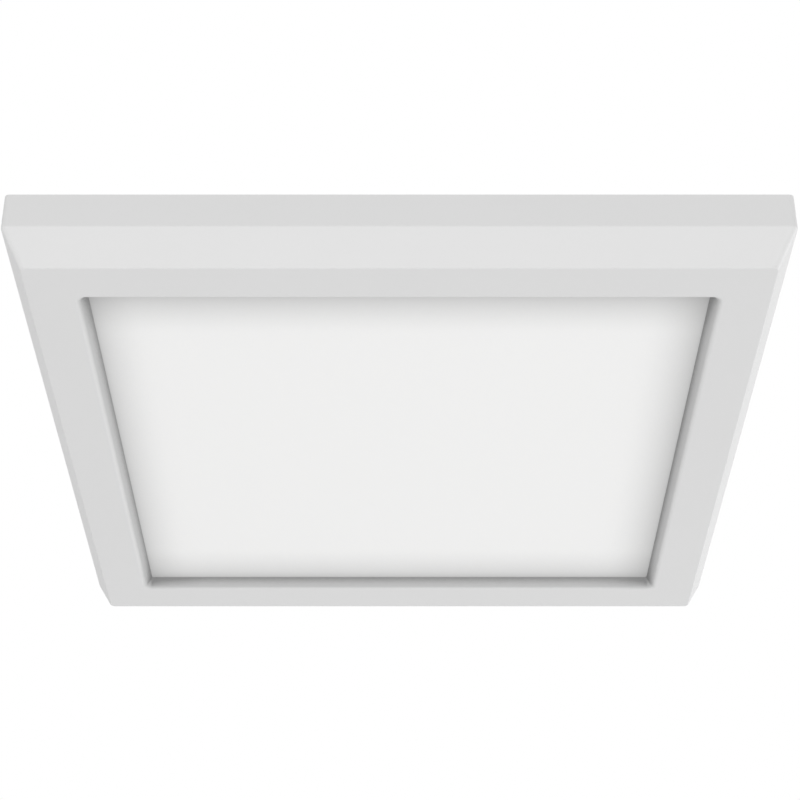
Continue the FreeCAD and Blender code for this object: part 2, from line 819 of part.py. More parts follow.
def driver_tray():
    """The driver's base: an open tray with standoffs, lead ports and two screw tabs."""
    low, high = spreader_back_z, lid_front_z
    tray = sheet(driver_width, driver_length, tray_corner_radius, low, high, driver_x)
    inner = (driver_width - 2 * tray_sheet, driver_length - 2 * tray_sheet, tray_corner_radius / 2)
    tray = tray.cut(sheet(*inner, tray_floor_z, high + past, driver_x))
    port_span = (board_back_z, board_back_z + lead_port_height)
    ports = []
    for side in (-1, 1):
        end_y = side * driver_length / 2
        ports.append(block_at(driver_x, end_y, lead_port_width, 4 * tray_sheet, *port_span))
    tray = tray.cut(ports)
    tabs = []
    for x, y in tab_screw_places:
        tab = sheet(tray_tab_width, tray_tab_length, tray_corner_radius, low, tray_floor_z, x, y)
        tabs.append(tab)
    standoffs = []
    for x, y in standoff_places():
        standoffs.append(block_at(x, y, standoff_width, standoff_width, tray_floor_z, board_front_z))
    tray = tray.fuse(tabs + standoffs)
    hole_radius = screw_radius + hole_clearance
    holes = [rod(hole_radius, x, y, low - past, tray_floor_z + past) for x, y in tab_screw_places]
    return tray.cut(holes).removeSplitter()


def standoff_places():
    x_reach = (board_width - standoff_width) / 2
    y_reach = (board_length - standoff_width) / 2
    return [(driver_x + x * x_reach, y * y_reach) for x in (-1, 1) for y in (-1, 1)]


def driver_board():
    radius = tray_corner_radius / 2
    return sheet(board_width, board_length, radius, board_front_z, board_back_z, driver_x)


def driver_lid():
    """A flat lid on the tray's rim with a locating lip inside it."""
    lid = sheet(driver_width, driver_length, tray_corner_radius, lid_front_z, lid_back_z, driver_x)
    lip_low_z = lid_front_z - lid_lip
    outer_inset = tray_sheet + lid_lip_clearance
    inner_inset = outer_inset + tray_sheet
    outer = (driver_width - 2 * outer_inset, driver_length - 2 * outer_inset, tray_corner_radius / 2)
    inner = (driver_width - 2 * inner_inset, driver_length - 2 * inner_inset, tray_corner_radius / 4)
    lip = sheet(*outer, lip_low_z, lid_front_z, driver_x)
    lip = lip.cut(sheet(*inner, lip_low_z - past, lid_front_z, driver_x))
    return lid.fuse(lip).removeSplitter()


def driver_screws():
    length = tray_sheet + spreader_sheet
    screws = [pan_head_screw(x, y, tray_floor_z, length) for x, y in tab_screw_places]
    return Part.makeCompound(screws)


def switch_body():
    """A slide switch: a well for the carriage and two ears under the back cover."""
    low, high = cover_front_z - switch_height, cover_front_z
    body = block_at(switch_x, switch_y, switch_length, switch_width, low, high)
    ears = block_at(switch_x, switch_y, switch_ear_length, switch_width, high - switch_ear_height, high)
    well_length = slider_travel + slider_length + 2 * slider_gap
    well_width = slider_width + 2 * slider_gap
    well = block_at(switch_x, switch_y, well_length, well_width, high - switch_well_depth, high + past)
    hole_radius = switch_screw_radius + (pilot_radius - screw_radius)
    holes = [rod(hole_radius, x, y, low, high + past) for x, y in switch_screw_places]
    return body.fuse(ears).cut([well] + holes).removeSplitter()


def switch_screws():
    length = cover_sheet + switch_ear_height + 2 * switch_screw_radius
    screws = []
    for x, y in switch_screw_places:
        screws.append(flat_head_screw(x, y, switch_head_radius, switch_screw_radius, length))
    return Part.makeCompound(screws)


def switch_slider():
    """The moving carriage and the knob that stands through the cover's slot."""
    floor_z = cover_front_z - switch_well_depth
    carriage_high = floor_z + slider_gap + slider_height
    carriage = block_at(switch_x, switch_y, slider_length, slider_width, floor_z + slider_gap, carriage_high)
    knob = block_at(switch_x, switch_y, knob_length, knob_width, carriage_high, -knob_ceiling_gap)
    knob = knob.makeFillet(knob_ceiling_gap, level_edges(knob, -knob_ceiling_gap))
    return carriage.fuse(knob).removeSplitter()


def row_places():
    """The middles of the board's rows, evenly spaced between the two connectors."""
    reach = board_length / 2 - board_gap - connector_depth
    gap = (2 * reach - sum(row_depths)) / (len(row_depths) + 1)
    middles = []
    y = -reach
    for depth in row_depths:
        middles.append(y + gap + depth / 2)
        y += gap + depth
    return middles


def on_board(piece):
    """A piece's place in plan: left and right are midway between the board's middle and its sides."""
    for row, y in zip(board_rows, row_places()):
        if piece in row:
            side = row.index(piece) - 1
            return driver_x + side * board_width / 4, y


def input_connector():
    return lead_connector(-1)


def output_connector():
    return lead_connector(1)


def lead_connector(side):
    """A two-pole wire connector at one end of the board, facing the tray's lead port."""
    x = driver_x
    y = side * (board_length / 2 - board_gap - connector_depth / 2)
    top_z = board_back_z + connector_height
    body = block_at(x, y, connector_length, connector_depth, board_back_z, top_z)
    body = body.makeChamfer(connector_edge, level_edges(body, top_z))
    inward = point(0, -side, 0)
    mouth_y = y + side * (connector_depth / 2 + past)
    holes = []
    for offset in (-connector_length / 4, connector_length / 4):
        start = point(x + offset, mouth_y, board_back_z + connector_height / 2)
        holes.append(Part.makeCylinder(connector_hole_radius, connector_hole_depth + past, start, inward))
    return body.cut(holes)


def lying_rod(radius, x, y_low, y_high, z):
    """A round body lying along Y."""
    return Part.makeCylinder(radius, y_high - y_low, point(x, y_low, z), point(0, 1, 0))


def fuse():
    """A cylindrical fuse lying on the board on its two end caps."""
    x, y = on_board("fuse")
    cap_radius = fuse_radius + fuse_cap_thickness
    axis_z = board_back_z + cap_radius
    low, high = y - fuse_length / 2, y + fuse_length / 2
    caps = [
        lying_rod(cap_radius, x, low, low + fuse_cap_length, axis_z),
        lying_rod(cap_radius, x, high - fuse_cap_length, high, axis_z),
    ]
    return lying_rod(fuse_radius, x, low, high, axis_z).fuse(caps)


def surge_disc():
    """A round surge absorber, bent over to lie flat on the board."""
    x, y = on_board("surge_disc")
    top_z = board_back_z + surge_disc_thickness
    disc = rod(surge_disc_radius, x, y, board_back_z, top_z)
    return disc.makeChamfer(part_edge_cut, level_edges(disc, top_z))


def film_capacitor():
    x, y = on_board("film_capacitor")
    top_z = board_back_z + part_height
    body = block_at(x, y, film_length, film_depth, board_back_z, top_z)
    return body.makeChamfer(part_edge_cut, level_edges(body, top_z))


def bridge_rectifier():
    """A flat four-legged bridge package."""
    x, y = on_board("bridge")
    low_z = board_back_z + package_foot
    body = block_at(x, y, bridge_length, bridge_depth, low_z, low_z + bridge_height)
    legs = []
    for side in (-1, 1):
        leg_x = x + side * (bridge_length + bridge_leg_length) / 2
        for row in (-1, 1):
            leg_y = y + row * bridge_leg_spacing / 2
            leg_span = (board_back_z, board_back_z + bridge_leg_height)
            legs.append(block_at(leg_x, leg_y, bridge_leg_length, bridge_leg_width, *leg_span))
    return body.fuse(legs)


def line_choke():
    """A choke wound on a ferrite drum, standing on the board."""
    x, y = on_board("choke")
    top_z = board_back_z + part_height
    low_flange = rod(choke_radius, x, y, board_back_z, board_back_z + choke_flange)
    high_flange = rod(choke_radius, x, y, top_z - choke_flange, top_z)
    neck_radius = choke_radius - choke_neck_depth
    neck = rod(neck_radius, x, y, board_back_z + choke_flange, top_z - choke_flange)
    return low_flange.fuse([neck, high_flange])


def bulk_capacitor():
    """An electrolytic can lying on the board, crimped near its sealed end."""
    x, y = on_board("bulk_capacitor")
    radius = part_height / 2
    axis_z = board_back_z + radius
    low = y - can_length / 2
    groove_low, groove_high = low + can_groove, low + 2 * can_groove
    collar = lying_rod(radius + past, x, groove_low, groove_high, axis_z)
    collar = collar.cut(lying_rod(radius - can_groove_depth, x, groove_low, groove_high, axis_z))
    return lying_rod(radius, x, low, low + can_length, axis_z).cut(collar)


def output_capacitors():
    radius = part_height / 2
    reach = output_can_length / 2
    cans = []
    for x, y in [on_board("first_can"), on_board("second_can")]:
        cans.append(lying_rod(radius, x, y - reach, y + reach, board_back_z + radius))
    return Part.makeCompound(cans)


def transformer_core():
    """Two E halves of ferrite round the winding, lying flat."""
    x, y = on_board("transformer")
    top_z = board_back_z + part_height
    core = block_at(x, y, core_length, core_depth, board_back_z, top_z)
    window_x = core_length / 2 - core_leg - core_window / 2
    window_depth = core_depth - 2 * core_leg
    windows = [
        block_at(x + side * window_x, y, core_window, window_depth, board_back_z - past, top_z + past)
        for side in (-1, 1)
    ]
    return core.cut(windows)


def transformer_winding():
    """The taped winding on the core's middle leg, seen as its two sides in the windows."""
    x, y = on_board("transformer")
    leg_width = core_length - 2 * (core_window + core_leg)
    side_width = core_window - winding_gap
    side_x = (leg_width + side_width) / 2
    depth = core_depth - 2 * (core_leg + winding_gap)
    low_z = board_back_z + winding_gap
    high_z = board_back_z + part_height - winding_gap
    sides = [block_at(x + side * side_x, y, side_width, depth, low_z, high_z) for side in (-1, 1)]
    return Part.makeCompound(sides)


def driver_chips():
    """The controller and the two switching devices, each with its legs as one foot."""
    chips = []
    low_z = board_back_z + package_foot
    names = ["first_chip", "second_chip", "third_chip"]
    for name, length, depth in zip(names, chip_lengths, chip_depths):
        x, y = on_board(name)
        foot_length = length + 2 * chip_leg_reach
        foot = block_at(x, y, foot_length, depth * chip_leg_share, board_back_z, low_z)
        chips.append(foot.fuse(block_at(x, y, length, depth, low_z, low_z + chip_height)))
    return Part.makeCompound(chips)


nodes = {
    "bezel_housing": bezel_housing,
    "diffuser_lens": diffuser_lens,
    "light_guide": light_guide,
    "reflector_sheet": reflector_sheet,
    "foam_pad": foam_pad,
    "heat_spreader": heat_spreader,
    "led_strip_right": lambda: led_strip(0),
    "led_strip_back": lambda: led_strip(1),
    "led_strip_left": lambda: led_strip(2),
    "led_strip_front": lambda: led_strip(3),
    "warm_leds": lambda: led_group(0),
    "cool_leds": lambda: led_group(1),
    "spreader_screws": spreader_screws,
    "back_cover": back_cover,
    "cover_screws": cover_screws,
    "ceiling_gasket": ceiling_gasket,
    "mounting_plate": mounting_plate,
    "ground_screw": ground_screw,
    "spring_clip_left": lambda: spring_clip(-1),
    "spring_clip_right": lambda: spring_clip(1),
    "clip_rivets": clip_rivets,
    "terminal_block": terminal_block,
    "lead_grommet": lead_grommet,
    "driver_tray": driver_tray,
    "driver_board": driver_board,
    "driver_lid": driver_lid,
    "driver_screws": driver_screws,
    "input_connector": input_connector,
    "output_connector": output_connector,
    "fuse": fuse,
    "surge_disc": surge_disc,
    "bridge_rectifier": bridge_rectifier,
    "line_choke": line_choke,
    "film_capacitor": film_capacitor,
    "bulk_capacitor": bulk_capacitor,
    "output_capacitors": output_capacitors,
    "transformer_core": transformer_core,
    "transformer_winding": transformer_winding,
    "driver_chips": driver_chips,
    "switch_body": switch_body,
    "switch_screws": switch_screws,
    "switch_slider": switch_slider,
}

os.makedirs("parts", exist_ok=True)
for name, build in nodes.items():
    shape = build()
    shape.exportStep("parts/" + name + ".step")
    print(name, len(shape.Solids), shape.isValid(), round(shape.Volume, 1))
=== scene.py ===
import json
import math

import bmesh
import bpy
from bpy.props import FloatProperty, FloatVectorProperty, IntProperty, PointerProperty
from bpy.types import Operator, Panel, PropertyGroup
from mathutils import Matrix, Vector

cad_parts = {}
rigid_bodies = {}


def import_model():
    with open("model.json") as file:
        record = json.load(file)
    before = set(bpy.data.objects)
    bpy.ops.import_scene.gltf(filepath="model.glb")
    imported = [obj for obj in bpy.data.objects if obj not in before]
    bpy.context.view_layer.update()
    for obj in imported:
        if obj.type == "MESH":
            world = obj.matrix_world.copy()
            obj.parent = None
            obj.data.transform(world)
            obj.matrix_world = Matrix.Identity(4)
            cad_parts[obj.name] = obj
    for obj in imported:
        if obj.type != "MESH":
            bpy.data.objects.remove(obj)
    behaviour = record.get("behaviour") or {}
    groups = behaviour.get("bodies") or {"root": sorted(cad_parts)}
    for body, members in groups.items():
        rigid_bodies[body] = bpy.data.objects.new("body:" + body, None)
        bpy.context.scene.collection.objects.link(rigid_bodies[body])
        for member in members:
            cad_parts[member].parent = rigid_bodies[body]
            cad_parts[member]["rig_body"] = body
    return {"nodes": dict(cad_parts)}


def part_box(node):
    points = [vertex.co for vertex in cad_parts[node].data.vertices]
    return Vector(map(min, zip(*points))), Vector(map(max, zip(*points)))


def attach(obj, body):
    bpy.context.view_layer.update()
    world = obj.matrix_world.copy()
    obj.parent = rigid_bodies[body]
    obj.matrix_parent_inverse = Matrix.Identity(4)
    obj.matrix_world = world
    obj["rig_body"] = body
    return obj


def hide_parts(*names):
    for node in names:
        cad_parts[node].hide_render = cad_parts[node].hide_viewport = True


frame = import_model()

# A square flush mount ceiling light, seen from below. Metres, +Z up into the ceiling; the ceiling
# plane is z = 0 and the light hangs below it.

bl_info = {
    "name": "Square Ceiling Light",
    "version": (1, 0, 0),
    "blender": (4, 5, 0),
    "location": "3D View > Sidebar > Ceiling Light",
    "description": "Dresses a square flush mount ceiling light: housing, lens, steel back and driver",
    "category": "Object",
}

NODES = frame["nodes"]

MM = 0.001
MICRON = MM / 1000
HALF_TURN = math.pi
QUARTER = math.pi / 2

# Facets in a corner in plan, in a rounded edge, and round each kind of turned piece
CORNER_SEGMENTS = 6
EDGE_SEGMENTS = 5
BOSS_SEGMENTS = 32
SCREW_SEGMENTS = 24
PART_SEGMENTS = 40
FUSE_SEGMENTS = 28
CAN_SEGMENTS = 36
MARK_SEGMENTS = 16

# The housing's inside: the throat, the ledge and the rib round the lens, and the stiffening ribs
THROAT_DRAFT = 0.6 * MM
MOUTH_RADIUS = 2.2 * MM
UPSTAND_WIDTH = 2.5 * MM
RIB_WIDTH = 1.2 * MM
RIB_DROP = 1.0 * MM
LENS_CLEARANCE = 0.3 * MM
INNER_RADIUS = 0.8 * MM
STIFFENER_WIDTH = 1.2 * MM
STIFFENER_HEIGHT = 5.0 * MM
# Its screw bosses with their holes and webs
BOSS_RADIUS = 3.2 * MM
BOSS_DROP = 2.0 * MM
PILOT_RADIUS = 1.25 * MM
PILOT_SPARE = 0.5 * MM
WEB_WIDTH = 1.4 * MM
WEB_DROP = 4.5 * MM

# The screws: shanks, slimmer on the switch, the heights of both kinds of head, thread and cross recess
SHANK_RADIUS = 1.2 * MM
SLIM_SHANK = 0.9 * MM
FLAT_HEAD = 1.0 * MM
PAN_HEAD = 1.5 * MM
THREAD_PITCH = 0.8 * MM
THREAD_DEPTH = 0.16 * MM
CROSS_WIDTH = 0.55 * MM
CROSS_DEPTH = 0.75 * MM
CROSS_TAPER = 0.6
RIVET_RADIUS = 1.6 * MM
RIVET_HEAD = 0.8 * MM

# An LED's rim and the dip of its phosphor; the grommet's hole, neck and flanges; the knob's grooves
LED_MARGIN = 0.25 * MM
LED_DIP = 0.12 * MM
GROMMET_BORE = 1.5 * MM
GROMMET_NECK = 2.5 * MM
GROMMET_FLANGE = 1.0 * MM
GROOVES = 4
GROOVE_PITCH = 0.56 * MM
GROOVE_HALF = 0.16 * MM

# Parts on the driver's board: the choke's drum, the capacitors' crimp, the fuse's caps and the chips
CHOKE_FLANGE = 0.8 * MM
CHOKE_NECK = 0.35 * MM
CHOKE_TURNS = 8
CAN_GROOVE = 1.2 * MM
FUSE_CAP = 1.8 * MM
CAP_STEP = 0.2 * MM
CHIP_LEG = 1.0 * MM
CHIP_HEIGHT = 1.5 * MM
CHIP_TAPER = 0.94
LEG_PITCH = 1.27 * MM
LEG_THICKNESS = 0.2 * MM
MARK_RADIUS = 0.35 * MM
MARK_DEPTH = 0.15 * MM

# Rounding of the sheet metal's cut edges and of the driver's tray and lid
SHEET_EASE = 0.18 * MM
MOULDED_EASE = 0.14 * MM

# How far a place looks round itself for the painted shade of a recess
PAINTED_SHADE_REACH = 20 * MM
# Painted shade on the lens, darker towards its sides: axis, side, how far in, and the share of colour kept at
# the side
WINDOW_HALF = 91.6 * MM
LENS_PAINTED_SHADE = [
    ("X", 1, 17 * MM, 0.85), ("X", -1, 15 * MM, 0.86), ("Y", 1, 24 * MM, 0.84), ("Y", -1, 23 * MM, 0.775),
]

# The floor below the ceiling plane, and the picture with the pixel that the light's middle stands on
FLOOR_DROP = 1.5
FLOOR_WIDTH = 6.0
PICTURE_WIDTH = 800
MIDDLE_PIXEL = 399.3

# Soft lamps, each with its place and its watts
LAMP_WIDTH = 0.9
LAMPS = {
    "right": ((1.35, 0.4, -0.3), 6.75),
    "left": ((-1.35, -0.2, -0.4), 1.25),
    "front": ((0, -1.4, -0.4), 6.75),
    "under": ((0, 0, -1.3), 2.45),
    "back": ((0, 1.3, -0.5), 0.97),
}


def reach(node):
    """The half width of a node along X."""
    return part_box(node)[1].x


def low(node):
    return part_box(node)[0].z


def high(node):
    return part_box(node)[1].z


def size(name, text, default):
    return FloatProperty(name=name, description=text, default=default, unit="LENGTH", precision=5)


def angle(name, text, degrees):
    return FloatProperty(name=name, description=text, default=math.radians(degrees), subtype="ANGLE")


def tint(name, text, *default):
    return FloatVectorProperty(
        name=name, description=text, default=default, subtype="COLOR", size=3, min=0, max=1
    )


class HousingProperties(PropertyGroup):
    half_width: size("Half width", "From the middle to the outer band", reach("bezel_housing"))
    height: size("Height", "From the ceiling to the face", -low("bezel_housing"))
    band_height: size("Band height", "Height of the upright band", 11.4 * MM)
    slope_inset: size("Slope inset", "How far the sloped band leans in", 5.65 * MM)
    corner_radius: size("Corner radius", "Radius of the corners in plan", 1.6 * MM)
    crease_radius: size("Crease radius", "Rounding between band and slope", 1.0 * MM)
    face_edge_radius: size("Face edge radius", "Rounding between slope and face", 0.5 * MM)
    frame_width: size("Frame width", "From the side to the edge of the window", 22.7 * MM)
    window_radius: size("Window radius", "Radius of the window's corners", 0.8 * MM)
    lip_depth: size("Lip depth", "How deep the sloped lip goes", 2.2 * MM)
    lip_radius: size("Lip radius", "Rounding between face and lip", 2.1 * MM)
    lip_angle: angle("Lip angle", "Slope of the lip from the face", 51.7)
    wall: size("Wall", "Thickness of the band's wall", 2.0 * MM)
    face_thickness: size("Face thickness", "Thickness of the face", 2.2 * MM)
    stiffeners: IntProperty(name="Stiffeners", description="Stiffening ribs on each side", default=7)
    colour: tint("Colour", "Colour of the housing", 0.80, 0.80, 0.80)


class LensProperties(PropertyGroup):
    edge_radius: size("Edge radius", "Softened edge of the lens", 0.3 * MM)
    corner_radius: size("Corner radius", "Radius of the lens's corners", 1.5 * MM)
    colour: tint("Colour", "Colour of the frosted lens", 0.92, 0.92, 0.915)


class MetalProperties(PropertyGroup):
    spangle: size("Spangle", "Size of the zinc crystals on the cover", 5.5 * MM)
    cover: tint("Cover", "Galvanised back cover", 0.52, 0.535, 0.55)
    bracket: tint("Bracket", "Zinc plated mounting plate", 0.56, 0.57, 0.56)
    clip: tint("Clips", "Blued spring steel", 0.16, 0.18, 0.24)
    screw: tint("Screws", "Zinc plated screws and rivets", 0.48, 0.49, 0.50)
    ground: tint("Ground screw", "Green dyed zinc", 0.05, 0.34, 0.12)
    spreader: tint("Heat spreader", "Mill finish aluminium", 0.62, 0.63, 0.64)


class OpticsProperties(PropertyGroup):
    dot_pitch: size("Dot pitch", "Spacing of the light guide's etched dots", 1.5 * MM)
    guide: tint("Light guide", "Clear acrylic", 0.96, 0.98, 0.98)
    film: tint("Reflector", "White film", 0.88, 0.88, 0.87)
    pad: tint("Foam pad", "Grey foam behind the reflector", 0.22, 0.22, 0.23)
    strip: tint("LED strips", "White solder mask", 0.80, 0.80, 0.78)
    package: tint("LED package", "White moulded LED body", 0.82, 0.82, 0.80)
    warm: tint("Warm phosphor", "Phosphor of the warm LEDs", 0.86, 0.55, 0.10)
    cool: tint("Cool phosphor", "Phosphor of the cool LEDs", 0.86, 0.76, 0.22)


class WiringProperties(PropertyGroup):
    block: tint("Terminal block", "Pale grey moulding", 0.72, 0.73, 0.72)
    rubber: tint("Grommet", "Black rubber", 0.03, 0.03, 0.03)
    gasket: tint("Gasket", "Dark closed cell foam", 0.09, 0.09, 0.095)
    switch: tint("Switch", "Black moulding", 0.035, 0.035, 0.035)
    knob: tint("Knob", "White moulding", 0.80, 0.80, 0.79)


class DriverProperties(PropertyGroup):
    tray: tint("Tray and lid", "White moulding", 0.76, 0.76, 0.74)
    board: tint("Board", "Green solder mask", 0.03, 0.17, 0.07)
    connector: tint("Connectors", "Ivory moulding", 0.78, 0.76, 0.68)
    tube: tint("Fuse tube", "Ceramic tube", 0.74, 0.70, 0.60)
    tin: tint("Tinned metal", "Caps and legs", 0.70, 0.70, 0.68)
    lacquer: tint("Surge disc", "Blue lacquer", 0.03, 0.10, 0.32)
    package: tint("Packages", "Black moulded packages", 0.03, 0.03, 0.033)
    wire: tint("Choke wire", "Enamelled copper", 0.55, 0.22, 0.08)
    film_box: tint("Film capacitor", "Yellow moulded box", 0.70, 0.46, 0.06)
    sleeve: tint("Capacitor sleeve", "Dark plastic sleeve", 0.05, 0.055, 0.09)
    core: tint("Ferrite", "Sintered ferrite", 0.10, 0.10, 0.105)
    tape: tint("Tape", "Yellow polyester tape", 0.80, 0.58, 0.06)


class StageProperties(PropertyGroup):
    floor_colour: tint("Floor colour", "Pale studio floor", 0.92, 0.92, 0.92)
    sky: FloatProperty(name="Sky", description="Strength of the even studio light", default=0.524)
    camera_distance: size("Camera distance", "Camera's distance in front, along Y", 0.5769)
    camera_drop: size("Camera drop", "Camera's distance below the ceiling plane", 0.3602)
    camera_pitch: angle("Camera pitch", "How far the camera looks up", 32.09)
    focal_pixels: FloatProperty(name="Focal length", description="In pixels of the picture", default=2017)


def set_inputs(node, inputs):
    """Gives a node its inputs: each is a fixed value or another node's output."""
    for name, value in inputs.items():
        if isinstance(value, bpy.types.NodeSocket):
            node.id_data.links.new(value, node.inputs[name])
        else:
            node.inputs[name].default_value = value


def add_node(tree, kind, inputs, **settings):
    """A shader node with its settings and its inputs."""
    made = tree.nodes.new("ShaderNode" + kind)
    for name, value in settings.items():
        setattr(made, name, value)
    set_inputs(made, inputs)
    return made


def new_material(name, colour, roughness, **values):
    """A principled material and its Object coordinates; values are the shader's own sockets."""
    material = bpy.data.materials.new(name)
    material.use_nodes = True
    tree = material.node_tree
    inputs = {"Base Color": (*colour, 1), "Roughness": roughness}
    for socket, value in values.items():
        inputs[socket.replace("_", " ").title().replace("Ior", "IOR")] = value
    set_inputs(tree.nodes["Principled BSDF"], inputs)
    return material, add_node(tree, "TexCoord", {}).outputs["Object"]


def finished(material, tone, gloss, height, depth):
    """Gives a material its colour, its roughness and bump, depth metres from black to white."""
    tree = material.node_tree
    bump = add_node(tree, "Bump", {"Strength": 1.0, "Distance": depth, "Height": height}).outputs["Normal"]
    set_inputs(tree.nodes["Principled BSDF"], {"Base Color": tone, "Roughness": gloss, "Normal": bump})
    return material


def noise(places, grain, detail=3.0, output="Fac"):
    """Noise whose blots are about grain metres across."""
    inputs = {"Vector": places, "Scale": 1 / grain, "Detail": detail}
    return add_node(places.id_data, "TexNoise", inputs).outputs[output]


def cells(places, width, randomness=1.0):
    """The outputs of cells about width metres across; Color differs from cell to cell."""
    inputs = {"Vector": places, "Scale": 1 / width, "Randomness": randomness}
    return add_node(places.id_data, "TexVoronoi", inputs).outputs


def stretched(places, factors):
    """Places pulled along the axes, so that a pattern runs in streaks."""
    return add_node(places.id_data, "Mapping", {"Vector": places, "Scale": factors}).outputs["Vector"]


def stops_ramp(source, stops):
    """A colour ramp over a grey value, of pairs of place and colour."""
    made = add_node(source.id_data, "ValToRGB", {"Fac": source})
    elements = made.color_ramp.elements
    while len(elements) < len(stops):
        elements.new(0.5)
    for element, (place, colour) in zip(elements, stops):
        element.position = place
        element.color = (*colour, 1)
    return made.outputs["Color"]


def ramp(source, colour, dark, light=1.0, start=0.3, end=0.7):
    """A ramp between a dark and a light share of one colour."""
    return stops_ramp(source, [(start, shaded(colour, dark)), (end, shaded(colour, light))])


def spread(source, low_value, high_value, start=0.3, end=0.7, **settings):
    """A grey value mapped from start and end to a span."""
    span = {"Value": source, "From Min": start, "From Max": end, "To Min": low_value, "To Max": high_value}
    return add_node(source.id_data, "MapRange", span, **settings).outputs["Result"]


def multiply(colour, share):
    """A colour times a grey share."""
    inputs = {"Vector": colour, "Scale": share}
    return add_node(colour.id_data, "VectorMath", inputs, operation="SCALE").outputs["Vector"]


def shaded(colour, factor):
    return tuple(channel * factor for channel in colour)


def painted_recess_shade(source, stops):
    """Paints shade into a colour in recesses: stops pair how open a place is with the share of colour kept.
    """
    tree = source.id_data
    openness = add_node(tree, "AmbientOcclusion", {"Distance": PAINTED_SHADE_REACH}, samples=16)
    # Painted shade: colour is kept in full where a place is open, and less in recesses and corners
    kept = stops_ramp(openness.outputs["AO"], [(place, (share,) * 3) for place, share in stops])
    inputs = {"Factor": 1.0, "A": source, "B": kept}
    return add_node(tree, "Mix", inputs, data_type="RGBA", blend_type="MULTIPLY").outputs["Result"]


def satin_white(colour):
    """Moulded housing: satin white with a very fine grain, faint flow variation, and painted shade in its
    throat and on its lip.
    """
    material, places = new_material("satin_white", colour, 0.5, specular_ior_level=0.4)
    # Painted shade in the throat and on the lip, darkest deep in the throat
    throat = [(0.74, 0.34), (0.77, 0.4), (0.8, 0.58)]
    lip = [(0.82, 0.68), (0.9, 0.71), (0.96, 0.75), (0.99, 0.82), (1.0, 1.0)]
    tone = painted_recess_shade(ramp(noise(places, 30 * MM, 2), colour, 0.992), throat + lip)
    grain = noise(places, 0.6 * MM, 2)
    return finished(material, tone, spread(grain, 0.44, 0.56), grain, 6 * MICRON)


def frosted_opal(colour):
    """Lens: opal plate with a fine frosted surface, a faint painted glow, and painted shade towards its sides
    and round its edge.
    """
    # The emission is a faint painted glow that brightens the whole lens
    material, places = new_material("frosted_opal", colour, 0.6, emission_strength=0.08)
    frost = noise(places, 0.4 * MM, 2)
    tone = ramp(frost, colour, 0.99)
    sides = add_node(places.id_data, "SeparateXYZ", {"Vector": places}).outputs
    # Painted shade, darker towards each side of the lens
    for axis, sign, run, share in LENS_PAINTED_SHADE:
        start, end = sign * WINDOW_HALF, sign * (WINDOW_HALF - run)
        climb = spread(sides[axis], share, 1.0, start, end, interpolation_type="SMOOTHSTEP")
        tone = multiply(tone, climb)
    # Painted shade where the lens meets the walls of the recess
    tone = painted_recess_shade(tone, [(0.76, 0.74), (0.82, 0.8), (0.93, 0.91), (1.0, 1.0)])
    return finished(material, tone, spread(frost, 0.55, 0.65), frost, 4 * MICRON)


def plain_grain(name, colour, roughness, grain, depth, dark):
    """A moulded or painted finish: two close tones, uneven gloss and a fine grain."""
    material, places = new_material(name, colour, roughness)
    tone = ramp(noise(places, grain * 6), colour, dark)
    fine = noise(places, grain)
    return finished(material, tone, spread(fine, roughness * 0.85, roughness * 1.15), fine, depth)


def galvanised(colour, spangle):
    """Back cover: zinc crystals, each with its own brightness, gloss and feathered grain."""
    material, places = new_material("galvanised_steel", colour, 0.4, metallic=1.0)
    tree = material.node_tree
    wobble = {0: noise(places, spangle / 2, output="Color"), 1: (spangle * 0.45,) * 3, 2: places}
    warped = add_node(tree, "VectorMath", wobble, operation="MULTIPLY_ADD").outputs["Vector"]
    split = add_node(tree, "SeparateColor", {"Color": cells(warped, spangle)["Color"]}).outputs
    turn = {"Vector": places, "Angle": spread(split["Blue"], 0.0, HALF_TURN, 0.0, 1.0)}
    feathers = add_node(tree, "VectorRotate", turn, rotation_type="Z_AXIS").outputs["Vector"]
    lines = noise(stretched(feathers, (1, 9, 1)), spangle / 2, 5)
    tone = multiply(ramp(split["Red"], colour, 0.88, 1.0, 0.05, 0.95), spread(lines, 0.9, 1.1))
    return finished(material, tone, spread(split["Green"], 0.3, 0.48, 0.0, 1.0), lines, 20 * MICRON)


def brushed(name, colour, roughness, streaks, tint_to=None, grain=12 * MM):
    """Rolled or brushed metal: fine streaks one way, and a slow drift of colour."""
    material, places = new_material(name, colour, roughness, metallic=1.0)
    stops = [(0.3, shaded(colour, 0.93)), (0.7, tint_to or shaded(colour, 1.05))]
    tone = stops_ramp(noise(places, 30 * MM, 2), stops)
    lines = noise(stretched(places, streaks), grain, 4)
    return finished(material, tone, spread(lines, roughness * 0.8, roughness * 1.25), lines, 8 * MICRON)


def plated(name, colour, roughness=0.3):
    """Small plated steel: bright, with faint clouding."""
    material, places = new_material(name, colour, roughness, metallic=1.0)
    cloud = noise(places, 1.5 * MM)
    gloss = spread(cloud, roughness * 1.3, roughness * 0.8)
    return finished(material, ramp(cloud, colour, 0.85, 1.1), gloss, noise(places, 0.3 * MM), 3 * MICRON)


def cell_foam(name, colour, pore):
    """Closed cell foam: pores a fraction of a millimetre wide."""
    material, places = new_material(name, colour, 0.95, specular_ior_level=0.25)
    pores = cells(places, pore)["Distance"]
    gloss = spread(noise(places, pore * 8), 0.88, 1.0)
    return finished(material, ramp(pores, colour, 1.3, 0.6, 0.1, 0.8), gloss, pores, -200 * MICRON)


def clear_acrylic(colour, pitch):
    """Light guide: clear, with rows of small etched dots."""
    material, places = new_material("clear_acrylic", colour, 0.05, transmission_weight=1.0, ior=1.49)
    dots = cells(stretched(places, (1, 1, 0)), pitch, 0.0)["Distance"]
    tone = stops_ramp(dots, [(0.16, (1, 1, 1)), (0.2, colour)])
    return finished(material, tone, spread(dots, 0.7, 0.04, 0.16, 0.2), noise(places, 2 * MM), 3 * MICRON)


